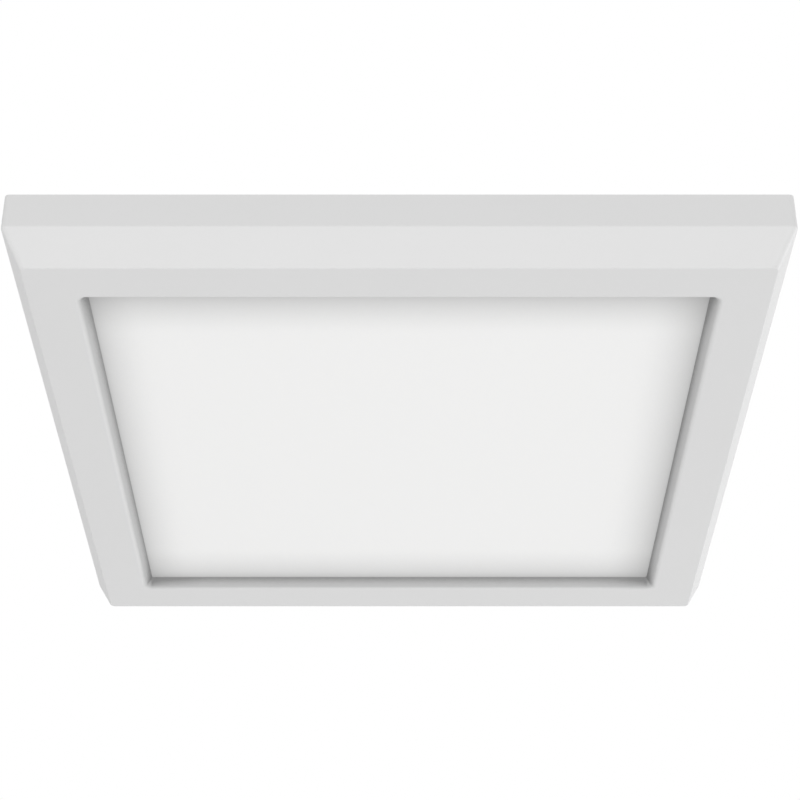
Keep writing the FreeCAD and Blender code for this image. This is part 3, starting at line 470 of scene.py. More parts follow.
def solder_mask(name, colour, pitch):
    """Circuit board: copper tracks that show faintly through the mask."""
    material, places = new_material(name, colour, 0.35, coat_weight=0.2, coat_roughness=0.2)
    lay = {"Vector": places, "Scale": 1 / pitch, "Mortar Size": 0.022, "Mortar Smooth": 0.4}
    rows = {"squash": 1.8, "squash_frequency": 3, "offset": 0.4, "offset_frequency": 2}
    tracks = add_node(places.id_data, "TexBrick", lay, **rows).outputs["Fac"]
    gloss = spread(noise(places, 0.5 * MM), 0.28, 0.42)
    return finished(material, ramp(tracks, colour, 1.12, 0.72, 0.2, 0.8), gloss, tracks, -40 * MICRON)


def phosphor(name, colour):
    """Phosphor resin: waxy, with fine grains."""
    waxy = {"subsurface_weight": 0.2, "subsurface_scale": 0.4 * MM}
    material, places = new_material(name, colour, 0.35, **waxy)
    grains = noise(places, 0.15 * MM)
    return finished(material, ramp(grains, colour, 0.88, 1.08), spread(grains, 0.3, 0.42), grains, 8 * MICRON)


def lacquered(name, colour):
    """Dipped or sleeved part: glossy, with a slow orange peel."""
    material, places = new_material(name, colour, 0.22, coat_weight=0.5, coat_roughness=0.1)
    peel = noise(places, 1.2 * MM, 1)
    return finished(material, ramp(peel, colour, 0.85, 1.15), spread(peel, 0.18, 0.3), peel, 20 * MICRON)


def taped(name, colour, width):
    """Polyester tape in overlapping turns."""
    material, places = new_material(name, colour, 0.25, coat_weight=0.3, coat_roughness=0.15)
    lay = {"Vector": places, "Scale": 1 / width / 20, "Distortion": 0.6}
    turns = add_node(places.id_data, "TexWave", lay, bands_direction="Y", wave_profile="SAW").outputs["Fac"]
    gloss = spread(noise(places, 0.6 * MM), 0.2, 0.32)
    return finished(material, ramp(turns, colour, 0.8), gloss, turns, 50 * MICRON)


def new_object(name, data):
    obj = bpy.data.objects.new(name, data)
    bpy.context.scene.collection.objects.link(obj)
    return obj


def new_mesh(name, bm):
    """A mesh made of a bmesh, which is freed."""
    mesh = bpy.data.meshes.new(name)
    bm.to_mesh(mesh)
    bm.free()
    return mesh


def new_piece(name, bm, node, *materials, ease=0.0):
    """Makes a mesh object of a finished bmesh, with its materials in its slots; it stands for a CAD node,
    which it hides, on its body.
    """
    mesh = new_mesh(name, bm)
    for material in materials:
        mesh.materials.append(material)
    mesh.shade_smooth()
    mesh.set_sharp_from_angle(angle=math.radians(35))
    piece = new_object(name, mesh)
    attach(piece, NODES[node]["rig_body"])
    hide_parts(node)
    if ease:
        bevel = piece.modifiers.new("Eased edges", "BEVEL")
        bevel.width = ease
        bevel.segments = 2
        bevel.angle_limit = math.radians(40)
        bevel.use_clamp_overlap = False
        bevel.loop_slide = False
    piece.modifiers.new("Even shading", "WEIGHTED_NORMAL").keep_sharp = True
    return piece


def modelled(name, bm, node, *materials):
    """A piece of newly modelled closed shapes, with all faces turned outwards."""
    bmesh.ops.recalc_face_normals(bm, faces=bm.faces)
    return new_piece(name, bm, node, *materials)


def join_doubles(bm):
    bmesh.ops.remove_doubles(bm, verts=bm.verts, dist=MICRON)


def merged(node):
    """A CAD node's mesh with its loose triangles joined, and its flats made whole."""
    bm = bmesh.new()
    bm.from_mesh(NODES[node].data)
    join_doubles(bm)
    bmesh.ops.dissolve_limit(bm, angle_limit=math.radians(0.5), verts=bm.verts, edges=bm.edges)
    for face in bm.faces:
        face.material_index = 0
    return bm


def eased(name, node, material, ease):
    """A CAD node's own shape with its sharp edges rounded a little."""
    return new_piece(name, merged(node), node, material, ease=ease)


def finish_node(node, material):
    """Gives a CAD node that keeps its shape its material."""
    for slot in NODES[node].material_slots:
        slot.material = material


def solids(node):
    """The lowest and highest corner of each separate solid in a CAD node."""
    bm = merged(node)
    waiting = set(bm.verts)
    boxes = []
    while waiting:
        front = [waiting.pop()]
        found = []
        while front:
            vert = front.pop()
            found.append(vert.co.copy())
            linked = {edge.other_vert(vert) for edge in vert.link_edges} & waiting
            waiting -= linked
            front.extend(linked)
        boxes.append((Vector(map(min, zip(*found))), Vector(map(max, zip(*found)))))
    bm.free()
    return sorted(boxes, key=lambda corners: tuple(corners[0]))


def spans(corners):
    """The middle of a box and its half extents."""
    return (corners[0] + corners[1]) / 2, (corners[1] - corners[0]) / 2


def middle(corners):
    """The middle of a box in plan."""
    return tuple(spans(corners)[0].xy)


def block(bm, start, end):
    """A closed block between two corners; returns its vertices."""
    start, end = Vector(start), Vector(end)
    place = Matrix.Translation((start + end) / 2)
    return bmesh.ops.create_cube(bm, size=1, matrix=place @ Matrix.Diagonal((*(end - start), 1)))["verts"]


def post(bm, x, y, radius, start, end, segments=BOSS_SEGMENTS):
    """A closed round post."""
    bmesh.ops.create_cone(
        bm, cap_ends=True, segments=segments, radius1=radius, radius2=radius, depth=end - start,
        matrix=Matrix.Translation((x, y, (start + end) / 2)),
    )


def spin(bm, geom, turn, steps, rise=0, **settings):
    bmesh.ops.spin(
        bm, geom=geom, cent=(0, 0, 0), axis=(0, 0, 1), dvec=(0, 0, rise), angle=turn, steps=steps, **settings
    )


def lathe(profile, centre, along="Z", segments=PART_SEGMENTS, closed=False):
    """A turned shape: a profile of radius and distance pairs spun about an axis through a point."""
    turned = bmesh.new()
    verts = [turned.verts.new((radius, 0, distance)) for radius, distance in profile]
    pairs = list(zip(verts, verts[1:])) + ([(verts[-1], verts[0])] if closed else [])
    edges = [turned.edges.new(pair) for pair in pairs]
    spin(turned, verts + edges, 2 * HALF_TURN, segments, use_merge=True)
    join_doubles(turned)
    tilts = {"X": (QUARTER, "Y"), "Y": (-QUARTER, "X"), "Z": (0, "Z")}
    tilt, axis = tilts[along]
    turned.transform(Matrix.Translation(centre) @ Matrix.Rotation(tilt, 4, axis))
    return turned


def take_in(bm, other, slot=0):
    """Adds another bmesh to this one, in a material slot, and returns the new faces."""
    count = len(bm.faces)
    mesh = new_mesh("part", other)
    bm.from_mesh(mesh)
    bpy.data.meshes.remove(mesh)
    bm.faces.ensure_lookup_table()
    for face in bm.faces[count:]:
        face.material_index = slot
    return bm.faces[count:]


def combined(bm, tool, operation="DIFFERENCE"):
    """The result of cutting or joining with a tool of closed shapes, which may cross each other."""
    objects = []
    for name, part in (("body", bm), ("tool", tool)):
        bmesh.ops.recalc_face_normals(part, faces=part.faces)
        objects.append(new_object(name, new_mesh(name, part)))
    carve = objects[0].modifiers.new("Carve", "BOOLEAN")
    carve.operation = operation
    carve.solver = "EXACT"
    carve.use_self = True
    carve.object = objects[1]
    result = bmesh.new()
    result.from_mesh(objects[0].evaluated_get(bpy.context.evaluated_depsgraph_get()).to_mesh())
    for obj in objects:
        mesh = obj.data
        bpy.data.objects.remove(obj)
        bpy.data.meshes.remove(mesh)
    join_doubles(result)
    return result


def arc_points(centre, radii, start, end, steps):
    """Points on an arc of a profile, from one angle to another."""
    angles = [start + (end - start) * step / steps for step in range(steps + 1)]
    return [(centre[0] + radii[0] * math.cos(turn), centre[1] + radii[1] * math.sin(turn)) for turn in angles]


def square_loop(bm, half, z, radius):
    """A rounded square of edges at height z; returns the edges."""
    place = Matrix.Translation((0, 0, z))
    corners = bmesh.ops.create_grid(bm, x_segments=1, y_segments=1, size=half, matrix=place)["verts"]
    before = set(bm.edges) - {edge for vert in corners for edge in vert.link_edges}
    bmesh.ops.bevel(
        bm, geom=corners, offset=radius, segments=CORNER_SEGMENTS, profile=0.5, affect="VERTICES",
        material=-1,
    )
    edges = [edge for edge in bm.edges if edge not in before]
    faces = {face for edge in edges for face in edge.link_faces}
    bmesh.ops.delete(bm, geom=list(faces), context="FACES_ONLY")
    return edges


def next_ring(bm, edges, ring, following):
    """Extrudes a rounded square of edges to the next one; a ring is half width, height, radius."""
    made = bmesh.ops.extrude_edge_only(bm, edges=edges)["geom"]
    verts = {part for part in made if isinstance(part, bmesh.types.BMVert)}
    (half, _, radius), (next_half, next_z, next_radius) = ring, following
    for vert in verts:
        for axis in (0, 1):
            bend = (abs(vert.co[axis]) - half + radius) / radius
            place = next_half - next_radius + bend * next_radius
            vert.co[axis] = math.copysign(place, vert.co[axis])
        vert.co.z = next_z
    return [part for part in made if isinstance(part, bmesh.types.BMEdge) and verts.issuperset(part.verts)]


def square_solid(rings, closed=False):
    """Joins rounded squares into a capped solid or, closed, into a ring; returns each one's edges too."""
    bm = bmesh.new()
    loops = [square_loop(bm, *rings[0])]
    for ring, following in zip(rings, rings[1:]):
        loops.append(next_ring(bm, loops[-1], ring, following))
    if closed:
        next_ring(bm, loops[-1], rings[-1], rings[0])
        join_doubles(bm)
    else:
        for loop in (loops[0], loops[-1]):
            bmesh.ops.contextual_create(bm, geom=loop)
    return bm, loops


def round_edges(bm, edges, offset, segments=EDGE_SEGMENTS):
    bmesh.ops.bevel(
        bm, geom=edges, offset=offset, segments=segments, profile=0.5, affect="EDGES", material=-1
    )


def slope_lean(sizes):
    """The angle of the sloped band from upright."""
    return math.atan2(sizes.slope_inset, sizes.height - sizes.band_height)


def housing_profile(sizes):
    """The housing's section as rings: half width, height, corner radius."""
    face_z = -sizes.height
    side = sizes.half_width
    window = side - sizes.frame_width
    throat = window + THROAT_DRAFT
    seat_z = low("diffuser_lens")
    floor_z = face_z + sizes.face_thickness
    inner = side - sizes.wall
    lean = slope_lean(sizes)
    knee_z = -sizes.band_height + sizes.wall * math.tan(lean / 2)
    rib = reach("diffuser_lens") + LENS_CLEARANCE
    rib_z = high("foam_pad") - RIB_DROP
    outside = {
        "rim": (side, 0, sizes.corner_radius),
        "crease": (side, -sizes.band_height, sizes.corner_radius),
        "face edge": (side - sizes.slope_inset, face_z, sizes.corner_radius),
        "mouth": (throat + sizes.lip_depth / math.tan(sizes.lip_angle), face_z, MOUTH_RADIUS),
        "lip": (throat, face_z + sizes.lip_depth, sizes.window_radius),
        "lens seat": (window, seat_z, sizes.window_radius),
    }
    inside = {
        "upstand edge": (window + UPSTAND_WIDTH, seat_z),
        "upstand foot": (window + UPSTAND_WIDTH, floor_z),
        "rib foot": (rib, floor_z),
        "rib top": (rib, rib_z),
        "rib back": (rib + RIB_WIDTH, rib_z),
        "rib back foot": (rib + RIB_WIDTH, floor_z),
        "floor edge": (inner - (knee_z - floor_z) * math.tan(lean), floor_z),
        "knee": (inner, knee_z),
        "inner rim": (inner, 0),
    }
    return outside | {name: (*place, INNER_RADIUS) for name, place in inside.items()}


def housing_room(sizes):
    """The room behind the face, let a little into the walls and the floor, for the ribs to fill."""
    section = housing_profile(sizes)
    sink = sizes.wall / 4
    levels = [("floor edge", -sink), ("knee", 0), ("inner rim", sizes.wall)]
    rings = [(section[name][0] + sink, section[name][1] + lift, section[name][2]) for name, lift in levels]
    return square_solid(rings)[0]


def housing_ribs(sizes):
    """The screw bosses, their webs and the stiffening ribs, as crossing blocks and posts."""
    floor = -sizes.height + sizes.face_thickness - sizes.wall / 4
    outside = sizes.half_width
    half = WEB_WIDTH / 2
    bm = bmesh.new()
    bosses = [(*middle(corners), -BOSS_DROP) for corners in solids("cover_screws")]
    bosses += [(*middle(corners), high("foam_pad")) for corners in solids("spreader_screws")]
    for x, y, top in bosses:
        post(bm, x, y, BOSS_RADIUS, floor, top)
        small = top == high("foam_pad")
        web_top = top - (RIB_DROP if small else WEB_DROP)
        if abs(x) > MM and not small:
            wall_x = math.copysign(outside, x)
            block(bm, (min(x, wall_x), y - half, floor), (max(x, wall_x), y + half, web_top))
        if abs(y) > MM:
            wall_y = math.copysign(outside, y)
            block(bm, (x - half, min(y, wall_y), floor), (x + half, max(y, wall_y), web_top))
    boss_x = max(x for x, _, _ in bosses)
    pitch = 2 * boss_x / (sizes.stiffeners + 1)
    half = STIFFENER_WIDTH / 2
    start = housing_profile(sizes)["rib foot"][0] + half
    top = floor + sizes.wall / 4 + STIFFENER_HEIGHT
    for turn in range(4):
        for count in range(1, sizes.stiffeners + 1):
            x = count * pitch - boss_x
            verts = block(bm, (x - half, start, floor), (x + half, outside, top))
            bmesh.ops.transform(bm, matrix=Matrix.Rotation(turn * QUARTER, 4, "Z"), verts=verts)
    return bm


def housing_pilots(sizes):
    bm = bmesh.new()
    for node in ("cover_screws", "spreader_screws"):
        for corners in solids(node):
            post(bm, *middle(corners), PILOT_RADIUS, corners[0].z - PILOT_SPARE, sizes.wall)
    return bm


class LIGHT_OT_housing(Operator):
    """Model the white moulded housing with its band, slope, face, lip, bosses and ribs"""

    bl_idname = "light.housing"
    bl_label = "Housing"

    def execute(self, context):
        sizes = context.scene.light_housing
        lean = slope_lean(sizes)
        turns = {
            "crease": (sizes.crease_radius, lean),
            "face edge": (sizes.face_edge_radius, QUARTER - lean),
            "mouth": (sizes.lip_radius, sizes.lip_angle),
        }
        section = housing_profile(sizes)
        bm, loops = square_solid(list(section.values()), closed=True)
        for name, loop in zip(section, loops):
            if name in turns:
                radius, turn = turns[name]
                round_edges(bm, loop, radius * math.tan(turn / 2))
        inside = combined(housing_ribs(sizes), housing_room(sizes), "INTERSECT")
        bm = combined(combined(bm, inside, "UNION"), housing_pilots(sizes))
        modelled("white_housing", bm, "bezel_housing", satin_white(sizes.colour))
        return {"FINISHED"}


class LIGHT_OT_lens(Operator):
    """Model the frosted lens"""

    bl_idname = "light.lens"
    bl_label = "Lens"

    def execute(self, context):
        sizes = context.scene.light_lens
        node = "diffuser_lens"
        rings = [(reach(node), z, sizes.corner_radius) for z in (low(node), high(node))]
        bm, loops = square_solid(rings)
        round_edges(bm, loops[0], sizes.edge_radius, 3)
        modelled("opal_lens", bm, node, frosted_opal(sizes.colour))
        return {"FINISHED"}


class LIGHT_OT_optics(Operator):
    """Finish the light guide, its reflector and foam, the heat spreader, the strips and the LEDs"""

    bl_idname = "light.optics"
    bl_label = "Optics"

    def execute(self, context):
        sizes = context.scene.light_optics
        metals = context.scene.light_metal
        eased("edge_lit_guide", "light_guide", clear_acrylic(sizes.guide, sizes.dot_pitch), 0.15 * MM)
        film = plain_grain("white_film", sizes.film, 0.45, 0.6 * MM, 6 * MICRON, 0.97)
        finish_node("reflector_sheet", film)
        finish_node("foam_pad", cell_foam("grey_foam", sizes.pad, 0.7 * MM))
        sheet = brushed("mill_aluminium", metals.spreader, 0.34, (1, 25, 25))
        eased("aluminium_tray", "heat_spreader", sheet, SHEET_EASE)
        mask = solder_mask("white_mask", sizes.strip, 9 * MM)
        for side in ("front", "right", "back", "left"):
            eased("strip_" + side, "led_strip_" + side, mask, 0.05 * MM)
        package = plain_grain("white_package", sizes.package, 0.4, 0.2 * MM, 4 * MICRON, 0.95)
        for tone in ("warm", "cool"):
            glow = phosphor(tone + "_phosphor", getattr(sizes, tone))
            bm = self.packages(tone + "_leds")
            modelled(tone + "_packages", bm, tone + "_leds", package, glow)
        return {"FINISHED"}

    def packages(self, node):
        """Every LED of a kind: a moulded body whose phosphor lies in a dip that faces the guide."""
        bm = bmesh.new()
        for corners in solids(node):
            verts = block(bm, *corners)
            place, half = spans(corners)
            inward = Vector((-place.x, 0, 0)) if half.x < half.y else Vector((0, -place.y, 0))
            faces = {face for vert in verts for face in vert.link_faces}
            front = max(faces, key=lambda face: face.normal.dot(inward))
            for thickness, depth in ((LED_MARGIN, 0), (LED_MARGIN / 2, -LED_DIP)):
                bmesh.ops.inset_individual(bm, faces=[front], thickness=thickness, depth=depth)
            front.material_index = 1
        return bm


class LIGHT_OT_fasteners(Operator):
    """Model the screws, with threads and cross recesses, and the rivets"""

    bl_idname = "light.fasteners"
    bl_label = "Screws and rivets"

    def execute(self, context):
        colour = context.scene.light_metal.screw
        for kind, flat in (("cover", True), ("switch", True), ("spreader", False), ("driver", False)):
            node = kind + "_screws"
            shank = SLIM_SHANK if kind == "switch" else SHANK_RADIUS
            bm, tool = bmesh.new(), bmesh.new()
            core = shank - THREAD_DEPTH
            for corners in solids(node):
                place, bottom, top = middle(corners), corners[0].z, corners[1].z
                radius = (corners[1].x - corners[0].x) / 2
                seat = top - (FLAT_HEAD if flat else PAN_HEAD)
                profile = [(0, bottom), (core * 0.6, bottom), (core, bottom + core), (core, seat)]
                profile += self.head(flat, radius, shank, seat, top)
                take_in(bm, lathe(profile, (*place, 0), segments=SCREW_SEGMENTS))
                take_in(bm, self.thread(place, core, shank, bottom + core, seat))
                self.cross(tool, place, radius, top)
            modelled("crossed_" + node, combined(bm, tool), node, plated("plated_" + node, colour))
        bolts = self.rivets("clip_rivets")
        modelled("domed_rivets", bolts, "clip_rivets", plated("plated_rivets", colour, 0.35))
        return {"FINISHED"}

    def head(self, flat, radius, shank, seat, top):
        """The profile of a countersunk or a pan head, from its shank to its middle."""
        ease = radius / 12
        if flat:
            return [(shank, seat), (radius, top - ease), (radius - ease, top), (0, top)]
        height = top - seat
        centre, radii = (radius * 0.6, seat + height * 0.4), (radius * 0.4, height * 0.6)
        rounding = arc_points(centre, radii, 0, QUARTER, 6)
        return [(radius - ease, seat), (radius, seat + ease), *rounding, (0, top)]

    def thread(self, place, core, crest, start, end):
        """A sharp ridge wound up the shank, let a little into it."""
        turned = bmesh.new()
        half = THREAD_PITCH * 0.35
        sunk = core - THREAD_DEPTH / 2
        corners = [(sunk, -half), (crest, -half / 4), (crest, half / 4), (sunk, half)]
        tooth = turned.faces.new([turned.verts.new((x, 0, start + half + z)) for x, z in corners])
        climb = end - start - 2 * half
        turns = climb / THREAD_PITCH
        steps = int(turns * SCREW_SEGMENTS / 2)
        spin(turned, [tooth], 2 * HALF_TURN * turns, steps, climb / steps)
        turned.transform(Matrix.Translation((*place, 0)))
        return turned

    def cross(self, tool, place, head_radius, top):
        """The cutter of a cross recess: two tapered arms."""
        arm, half = head_radius * 0.55, CROSS_WIDTH / 2
        for length, width in ((arm, half), (half, arm)):
            verts = block(tool, (-length, -width, top - CROSS_DEPTH), (length, width, top + MM))
            deep = [vert for vert in verts if vert.co.z < top]
            bmesh.ops.scale(tool, vec=(CROSS_TAPER, CROSS_TAPER, 1), verts=deep)
            bmesh.ops.translate(tool, vec=(*place, 0), verts=verts)

    def rivets(self, node):
        """Domed heads over plain shanks."""
        bm = bmesh.new()
        for corners in solids(node):
            bottom, top = corners[0].z, corners[1].z
            radius = (corners[1].x - corners[0].x) / 2
            seat = top - RIVET_HEAD
            dome = arc_points((0, seat), (radius, RIVET_HEAD), 0.2, QUARTER, 8)[:-1]
            shank = [(0, bottom), (RIVET_RADIUS, bottom), (RIVET_RADIUS, seat)]
            profile = [*shank, (radius, seat), *dome, (0, top)]
            take_in(bm, lathe(profile, (*middle(corners), 0), segments=SCREW_SEGMENTS))
        return bm


class LIGHT_OT_steelwork(Operator):
    """Finish the back cover and its gasket, the mounting plate, its ground screw and the spring clips"""

    bl_idname = "light.steelwork"
    bl_label = "Cover, bracket and clips"

    def execute(self, context):
        metals = context.scene.light_metal
        eased("pressed_cover", "back_cover", galvanised(metals.cover, metals.spangle), SHEET_EASE)
        foam = cell_foam("ring_foam", context.scene.light_wiring.gasket, 0.45 * MM)
        eased("foam_gasket", "ceiling_gasket", foam, 0.15 * MM)
        zinc = brushed("zinc_plate", metals.bracket, 0.3, (1, 30, 30), (0.52, 0.56, 0.61))
        blue = brushed("blued_steel", metals.clip, 0.26, (30, 1, 30), (0.24, 0.20, 0.19), 6 * MM)
        eased("steel_bracket", "mounting_plate", zinc, SHEET_EASE)
        eased("green_screw", "ground_screw", plated("green_zinc", metals.ground, 0.32), 0.12 * MM)
        for side in ("left", "right"):
            eased("blued_clip_" + side, "spring_clip_" + side, blue, 0.1 * MM)
        return {"FINISHED"}


class LIGHT_OT_wiring(Operator):
    """Finish the terminal block and the switch, and model the grommet and the switch's knob"""

    bl_idname = "light.wiring"
    bl_label = "Wiring and switch"

    def execute(self, context):
        sizes = context.scene.light_wiring
        moulding = plain_grain("grey_moulding", sizes.block, 0.42, 0.6 * MM, 12 * MICRON, 0.96)
        eased("push_in_block", "terminal_block", moulding, 0.18 * MM)
        rubber = plain_grain("black_rubber", sizes.rubber, 0.62, 0.4 * MM, 20 * MICRON, 0.8)
        modelled("rubber_grommet", self.grommet(), "lead_grommet", rubber)
        black = plain_grain("switch_moulding", sizes.switch, 0.4, 0.5 * MM, 10 * MICRON, 0.8)
        eased("slide_switch", "switch_body", black, 0.12 * MM)
        white = plain_grain("knob_moulding", sizes.knob, 0.38, 0.4 * MM, 6 * MICRON, 0.96)
        modelled("grooved_knob", self.knob(), "switch_slider", white)
        return {"FINISHED"}

    def grommet(self):
        """A ring with a full round on each flange and a neck between them."""
        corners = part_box("lead_grommet")
        place, extent = spans(corners)
        start, end = corners[0].x, corners[1].x
        bore, half = GROMMET_BORE, GROMMET_FLANGE / 2
        rounds = [
            arc_points((extent.y - half, centre), (half, half), -QUARTER, QUARTER, 8)
            for centre in (start + half, end - half)
        ]
        neck = [(GROMMET_NECK, start + GROMMET_FLANGE), (GROMMET_NECK, end - GROMMET_FLANGE)]
        profile = [(bore + half / 2, start), *rounds[0], *neck, *rounds[1], (bore + half / 2, end)]
        profile += [(bore, end - half / 2), (bore, start + half / 2)]
        return lathe(profile, (0, place.y, place.z), "X", closed=True)

    def knob(self):
        """The carriage and the knob, with grip grooves across its end."""
        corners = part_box("switch_slider")
        arm = Vector((GROOVE_HALF, 2 * MM, GROOVE_HALF))
        x, y = middle(corners)
        tool = bmesh.new()
        for count in range(GROOVES):
            centre = Vector((x + (count - (GROOVES - 1) / 2) * GROOVE_PITCH, y, corners[1].z))
            verts = block(tool, centre - arm, centre + arm)
            bmesh.ops.rotate(tool, cent=centre, matrix=Matrix.Rotation(QUARTER / 2, 3, "Y"), verts=verts)
        return combined(merged("switch_slider"), tool)


class LIGHT_OT_driver(Operator):
    """Finish the driver's tray, lid, board and connectors"""

    bl_idname = "light.driver"
    bl_label = "Driver"

    def execute(self, context):
        sizes = context.scene.light_driver
        white = plain_grain("driver_moulding", sizes.tray, 0.4, 0.8 * MM, 10 * MICRON, 0.97)
        ivory = plain_grain("ivory_moulding", sizes.connector, 0.4, 0.5 * MM, 8 * MICRON, 0.95)
        for half in ("tray", "lid"):
            eased("moulded_" + half, "driver_" + half, white, MOULDED_EASE)
        eased("green_board", "driver_board", solder_mask("green_mask", sizes.board, 8 * MM), 0.08 * MM)
        for side in ("input", "output"):
            eased(side + "_socket", side + "_connector", ivory, 0.15 * MM)
        return {"FINISHED"}


class LIGHT_OT_board_parts(Operator):
    """Model the parts that stand on the driver's board"""

    bl_idname = "light.board_parts"
    bl_label = "Board parts"

    def execute(self, context):
        sizes = context.scene.light_driver
        tin = plated("tinned_metal", sizes.tin, 0.25)
        wire = plated("enamelled_copper", sizes.wire, 0.22)
        black = plain_grain("black_package", sizes.package, 0.45, 0.3 * MM, 10 * MICRON, 0.75)
        ferrite = plain_grain("sintered_ferrite", sizes.core, 0.7, 0.4 * MM, 20 * MICRON, 0.75)
        tube = plain_grain("ceramic_tube", sizes.tube, 0.3, 0.5 * MM, 6 * MICRON, 0.94)
        sleeve = lacquered("dark_sleeve", sizes.sleeve)
        modelled("capped_fuse", self.fuse(), "fuse", tube, tin)
        modelled("dipped_disc", self.disc(), "surge_disc", lacquered("blue_lacquer", sizes.lacquer))
        modelled("wound_choke", self.choke(), "line_choke", ferrite, wire)
        for node in ("bulk_capacitor", "output_capacitors"):
            modelled("crimped_" + node, self.cans(node), node, sleeve, tin)
        for name, node in (("bridge_package", "bridge_rectifier"), ("chip_packages", "driver_chips")):
            modelled(name, self.packages(node), node, black, tin)
        eased("boxed_film", "film_capacitor", lacquered("yellow_box", sizes.film_box), 0.3 * MM)
        eased("ferrite_core", "transformer_core", ferrite, 0.25 * MM)
        eased("taped_winding", "transformer_winding", taped("yellow_tape", sizes.tape, 1.6 * MM), 0.35 * MM)
        return {"FINISHED"}

    def fuse(self):
        """A ceramic tube between two pressed caps."""
        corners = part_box("fuse")
        place, extent = spans(corners)
        radius, tube = extent.z, extent.z - CAP_STEP
        ease = CAP_STEP * 1.5
        start, end = corners[0].y, corners[1].y
        first, last = start + FUSE_CAP, end - FUSE_CAP
        axis = (place.x, 0, place.z)
        bm = lathe([(0, first), (tube, first), (tube, last), (0, last)], axis, "Y", FUSE_SEGMENTS)
        for inner, outer, into in ((first, start, ease), (last, end, -ease)):
            profile = [(0, outer), (radius - ease, outer), (radius - ease / 3, outer + into / 3)]
            profile += [(radius, outer + into), (radius, inner), (0, inner)]
            take_in(bm, lathe(profile, axis, "Y", FUSE_SEGMENTS), 1)
        return bm

    def disc(self):
        """A disc whose dipped coat rounds its whole rim."""
        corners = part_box("surge_disc")
        place, extent = spans(corners)
        round_off = extent.z * 0.7
        rim = arc_points((extent.x - round_off, place.z), (round_off, extent.z), -QUARTER, QUARTER, 10)
        return lathe([(0, corners[0].z), *rim, (0, corners[1].z)], (place.x, place.y, 0))

    def choke(self):
        """A ferrite drum with its turns of wire side by side between the flanges."""
        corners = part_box("line_choke")
        radius = spans(corners)[1].x
        ease = 0.15 * MM
        foot, head = corners[0].z, corners[1].z
        bottom, top = foot + CHOKE_FLANGE, head - CHOKE_FLANGE
        neck = radius - 4 * CHOKE_NECK
        rims = [
            [(radius - ease, start), (radius, start + ease), (radius, end - ease), (radius - ease, end)]
            for start, end in ((foot, bottom), (top, head))
        ]
        axis = (*middle(corners), 0)
        bm = lathe([(0, foot), *rims[0], (neck, bottom), (neck, top), *rims[1], (0, head)], axis)
        half = (top - bottom) / CHOKE_TURNS / 2
        wound = [(neck - ease, bottom)]
        for turn in range(CHOKE_TURNS):
            centre = (radius - CHOKE_NECK - half, bottom + (2 * turn + 1) * half)
            wound += arc_points(centre, (half, half), -QUARTER, QUARTER, 6)
        take_in(bm, lathe(wound + [(neck - ease, top)], axis, closed=True), 1)
        return bm

    def cans(self, node):
        """Cans that lie along Y, crimped near the sealed end, with a bare metal end."""
        bm = bmesh.new()
        for corners in solids(node):
            place, extent = spans(corners)
            radius, start, end = extent.z, corners[0].y, corners[1].y
            ease, crimp = radius * 0.14, CAN_GROOVE / 2
            side = radius - ease
            profile = [(0, start + ease), (radius * 0.7, start + ease), (radius * 0.74, start)]
            profile += arc_points((side, start + ease), (ease, ease), -QUARTER, 0, 4)
            dent = (-CAP_STEP * 1.5, crimp)
            profile += arc_points((radius, start + 3 * crimp), dent, -QUARTER, QUARTER, 8)
            profile += arc_points((side, end - ease), (ease, ease), 0, QUARTER, 4)
            profile += [(radius * 0.8, end), (radius * 0.78, end - ease / 3), (0, end - ease / 3)]
            for face in take_in(bm, lathe(profile, (place.x, 0, place.z), "Y", CAN_SEGMENTS)):
                spot = face.calc_center_median() - place
                face.material_index = int(spot.y > 0 and math.hypot(spot.x, spot.z) < radius * 0.78)
        return bm

    def packages(self, node):
        """Moulded packages with bent legs down both sides, and a mark for the first leg."""
        bm, pits, metal = bmesh.new(), bmesh.new(), bmesh.new()
        for corners in solids(node):
            place, extent = spans(corners)
            wide = 2 * extent.z > 1.5 * CHIP_HEIGHT
            reach = CHIP_LEG * (1.6 if wide else 1)
            inside = Vector((reach, 0, 0))
            foot = Vector((0, 0, CHIP_HEIGHT * 0.2))
            verts = block(bm, corners[0] + inside + foot, corners[1] - inside)
            root_z = (corners[0].z + foot.z + corners[1].z) / 2
            top = [vert for vert in verts if vert.co.z > root_z]
            taper = (CHIP_TAPER, CHIP_TAPER, 1)
            bmesh.ops.scale(bm, vec=taper, verts=top, space=Matrix.Translation(-place))
            mark = corners[1] - inside - Vector((1, 1, 0)) * CHIP_HEIGHT * 0.6
            post(pits, mark.x, mark.y, MARK_RADIUS, mark.z - MARK_DEPTH, mark.z + MM, MARK_SEGMENTS)
            self.legs(metal, corners, reach, root_z - corners[0].z, wide)
        bm = combined(bm, pits)
        take_in(bm, metal, 1)
        return bm

    def legs(self, bm, corners, reach, drop, wide):
        """Legs that leave the package at half its height and bend down to flat feet."""
        place, extent = spans(corners)
        pitch = LEG_PITCH * (4 if wide else 1)
        count = 2 if wide else int((2 * extent.y - LEG_PITCH / 2) / pitch) + 1
        width = LEG_PITCH * (0.9 if wide else 0.34)
        under = drop - LEG_THICKNESS
        line = [(1.2, drop), (0.75, drop), (0.5, LEG_THICKNESS), (0, LEG_THICKNESS)]
        line += [(0, 0), (0.6, 0), (0.85, under), (1.2, under)]
        for edge, into in ((corners[0].x, reach), (corners[1].x, -reach)):
            for row in range(count):
                y = place.y + (row - (count - 1) / 2) * pitch - width / 2
                verts = [bm.verts.new((edge + into * x, y, corners[0].z + z)) for x, z in line]
                made = bmesh.ops.extrude_face_region(bm, geom=[bm.faces.new(verts)])["geom"]
                moved = [part for part in made if isinstance(part, bmesh.types.BMVert)]
                bmesh.ops.translate(bm, vec=(0, width, 0), verts=moved)


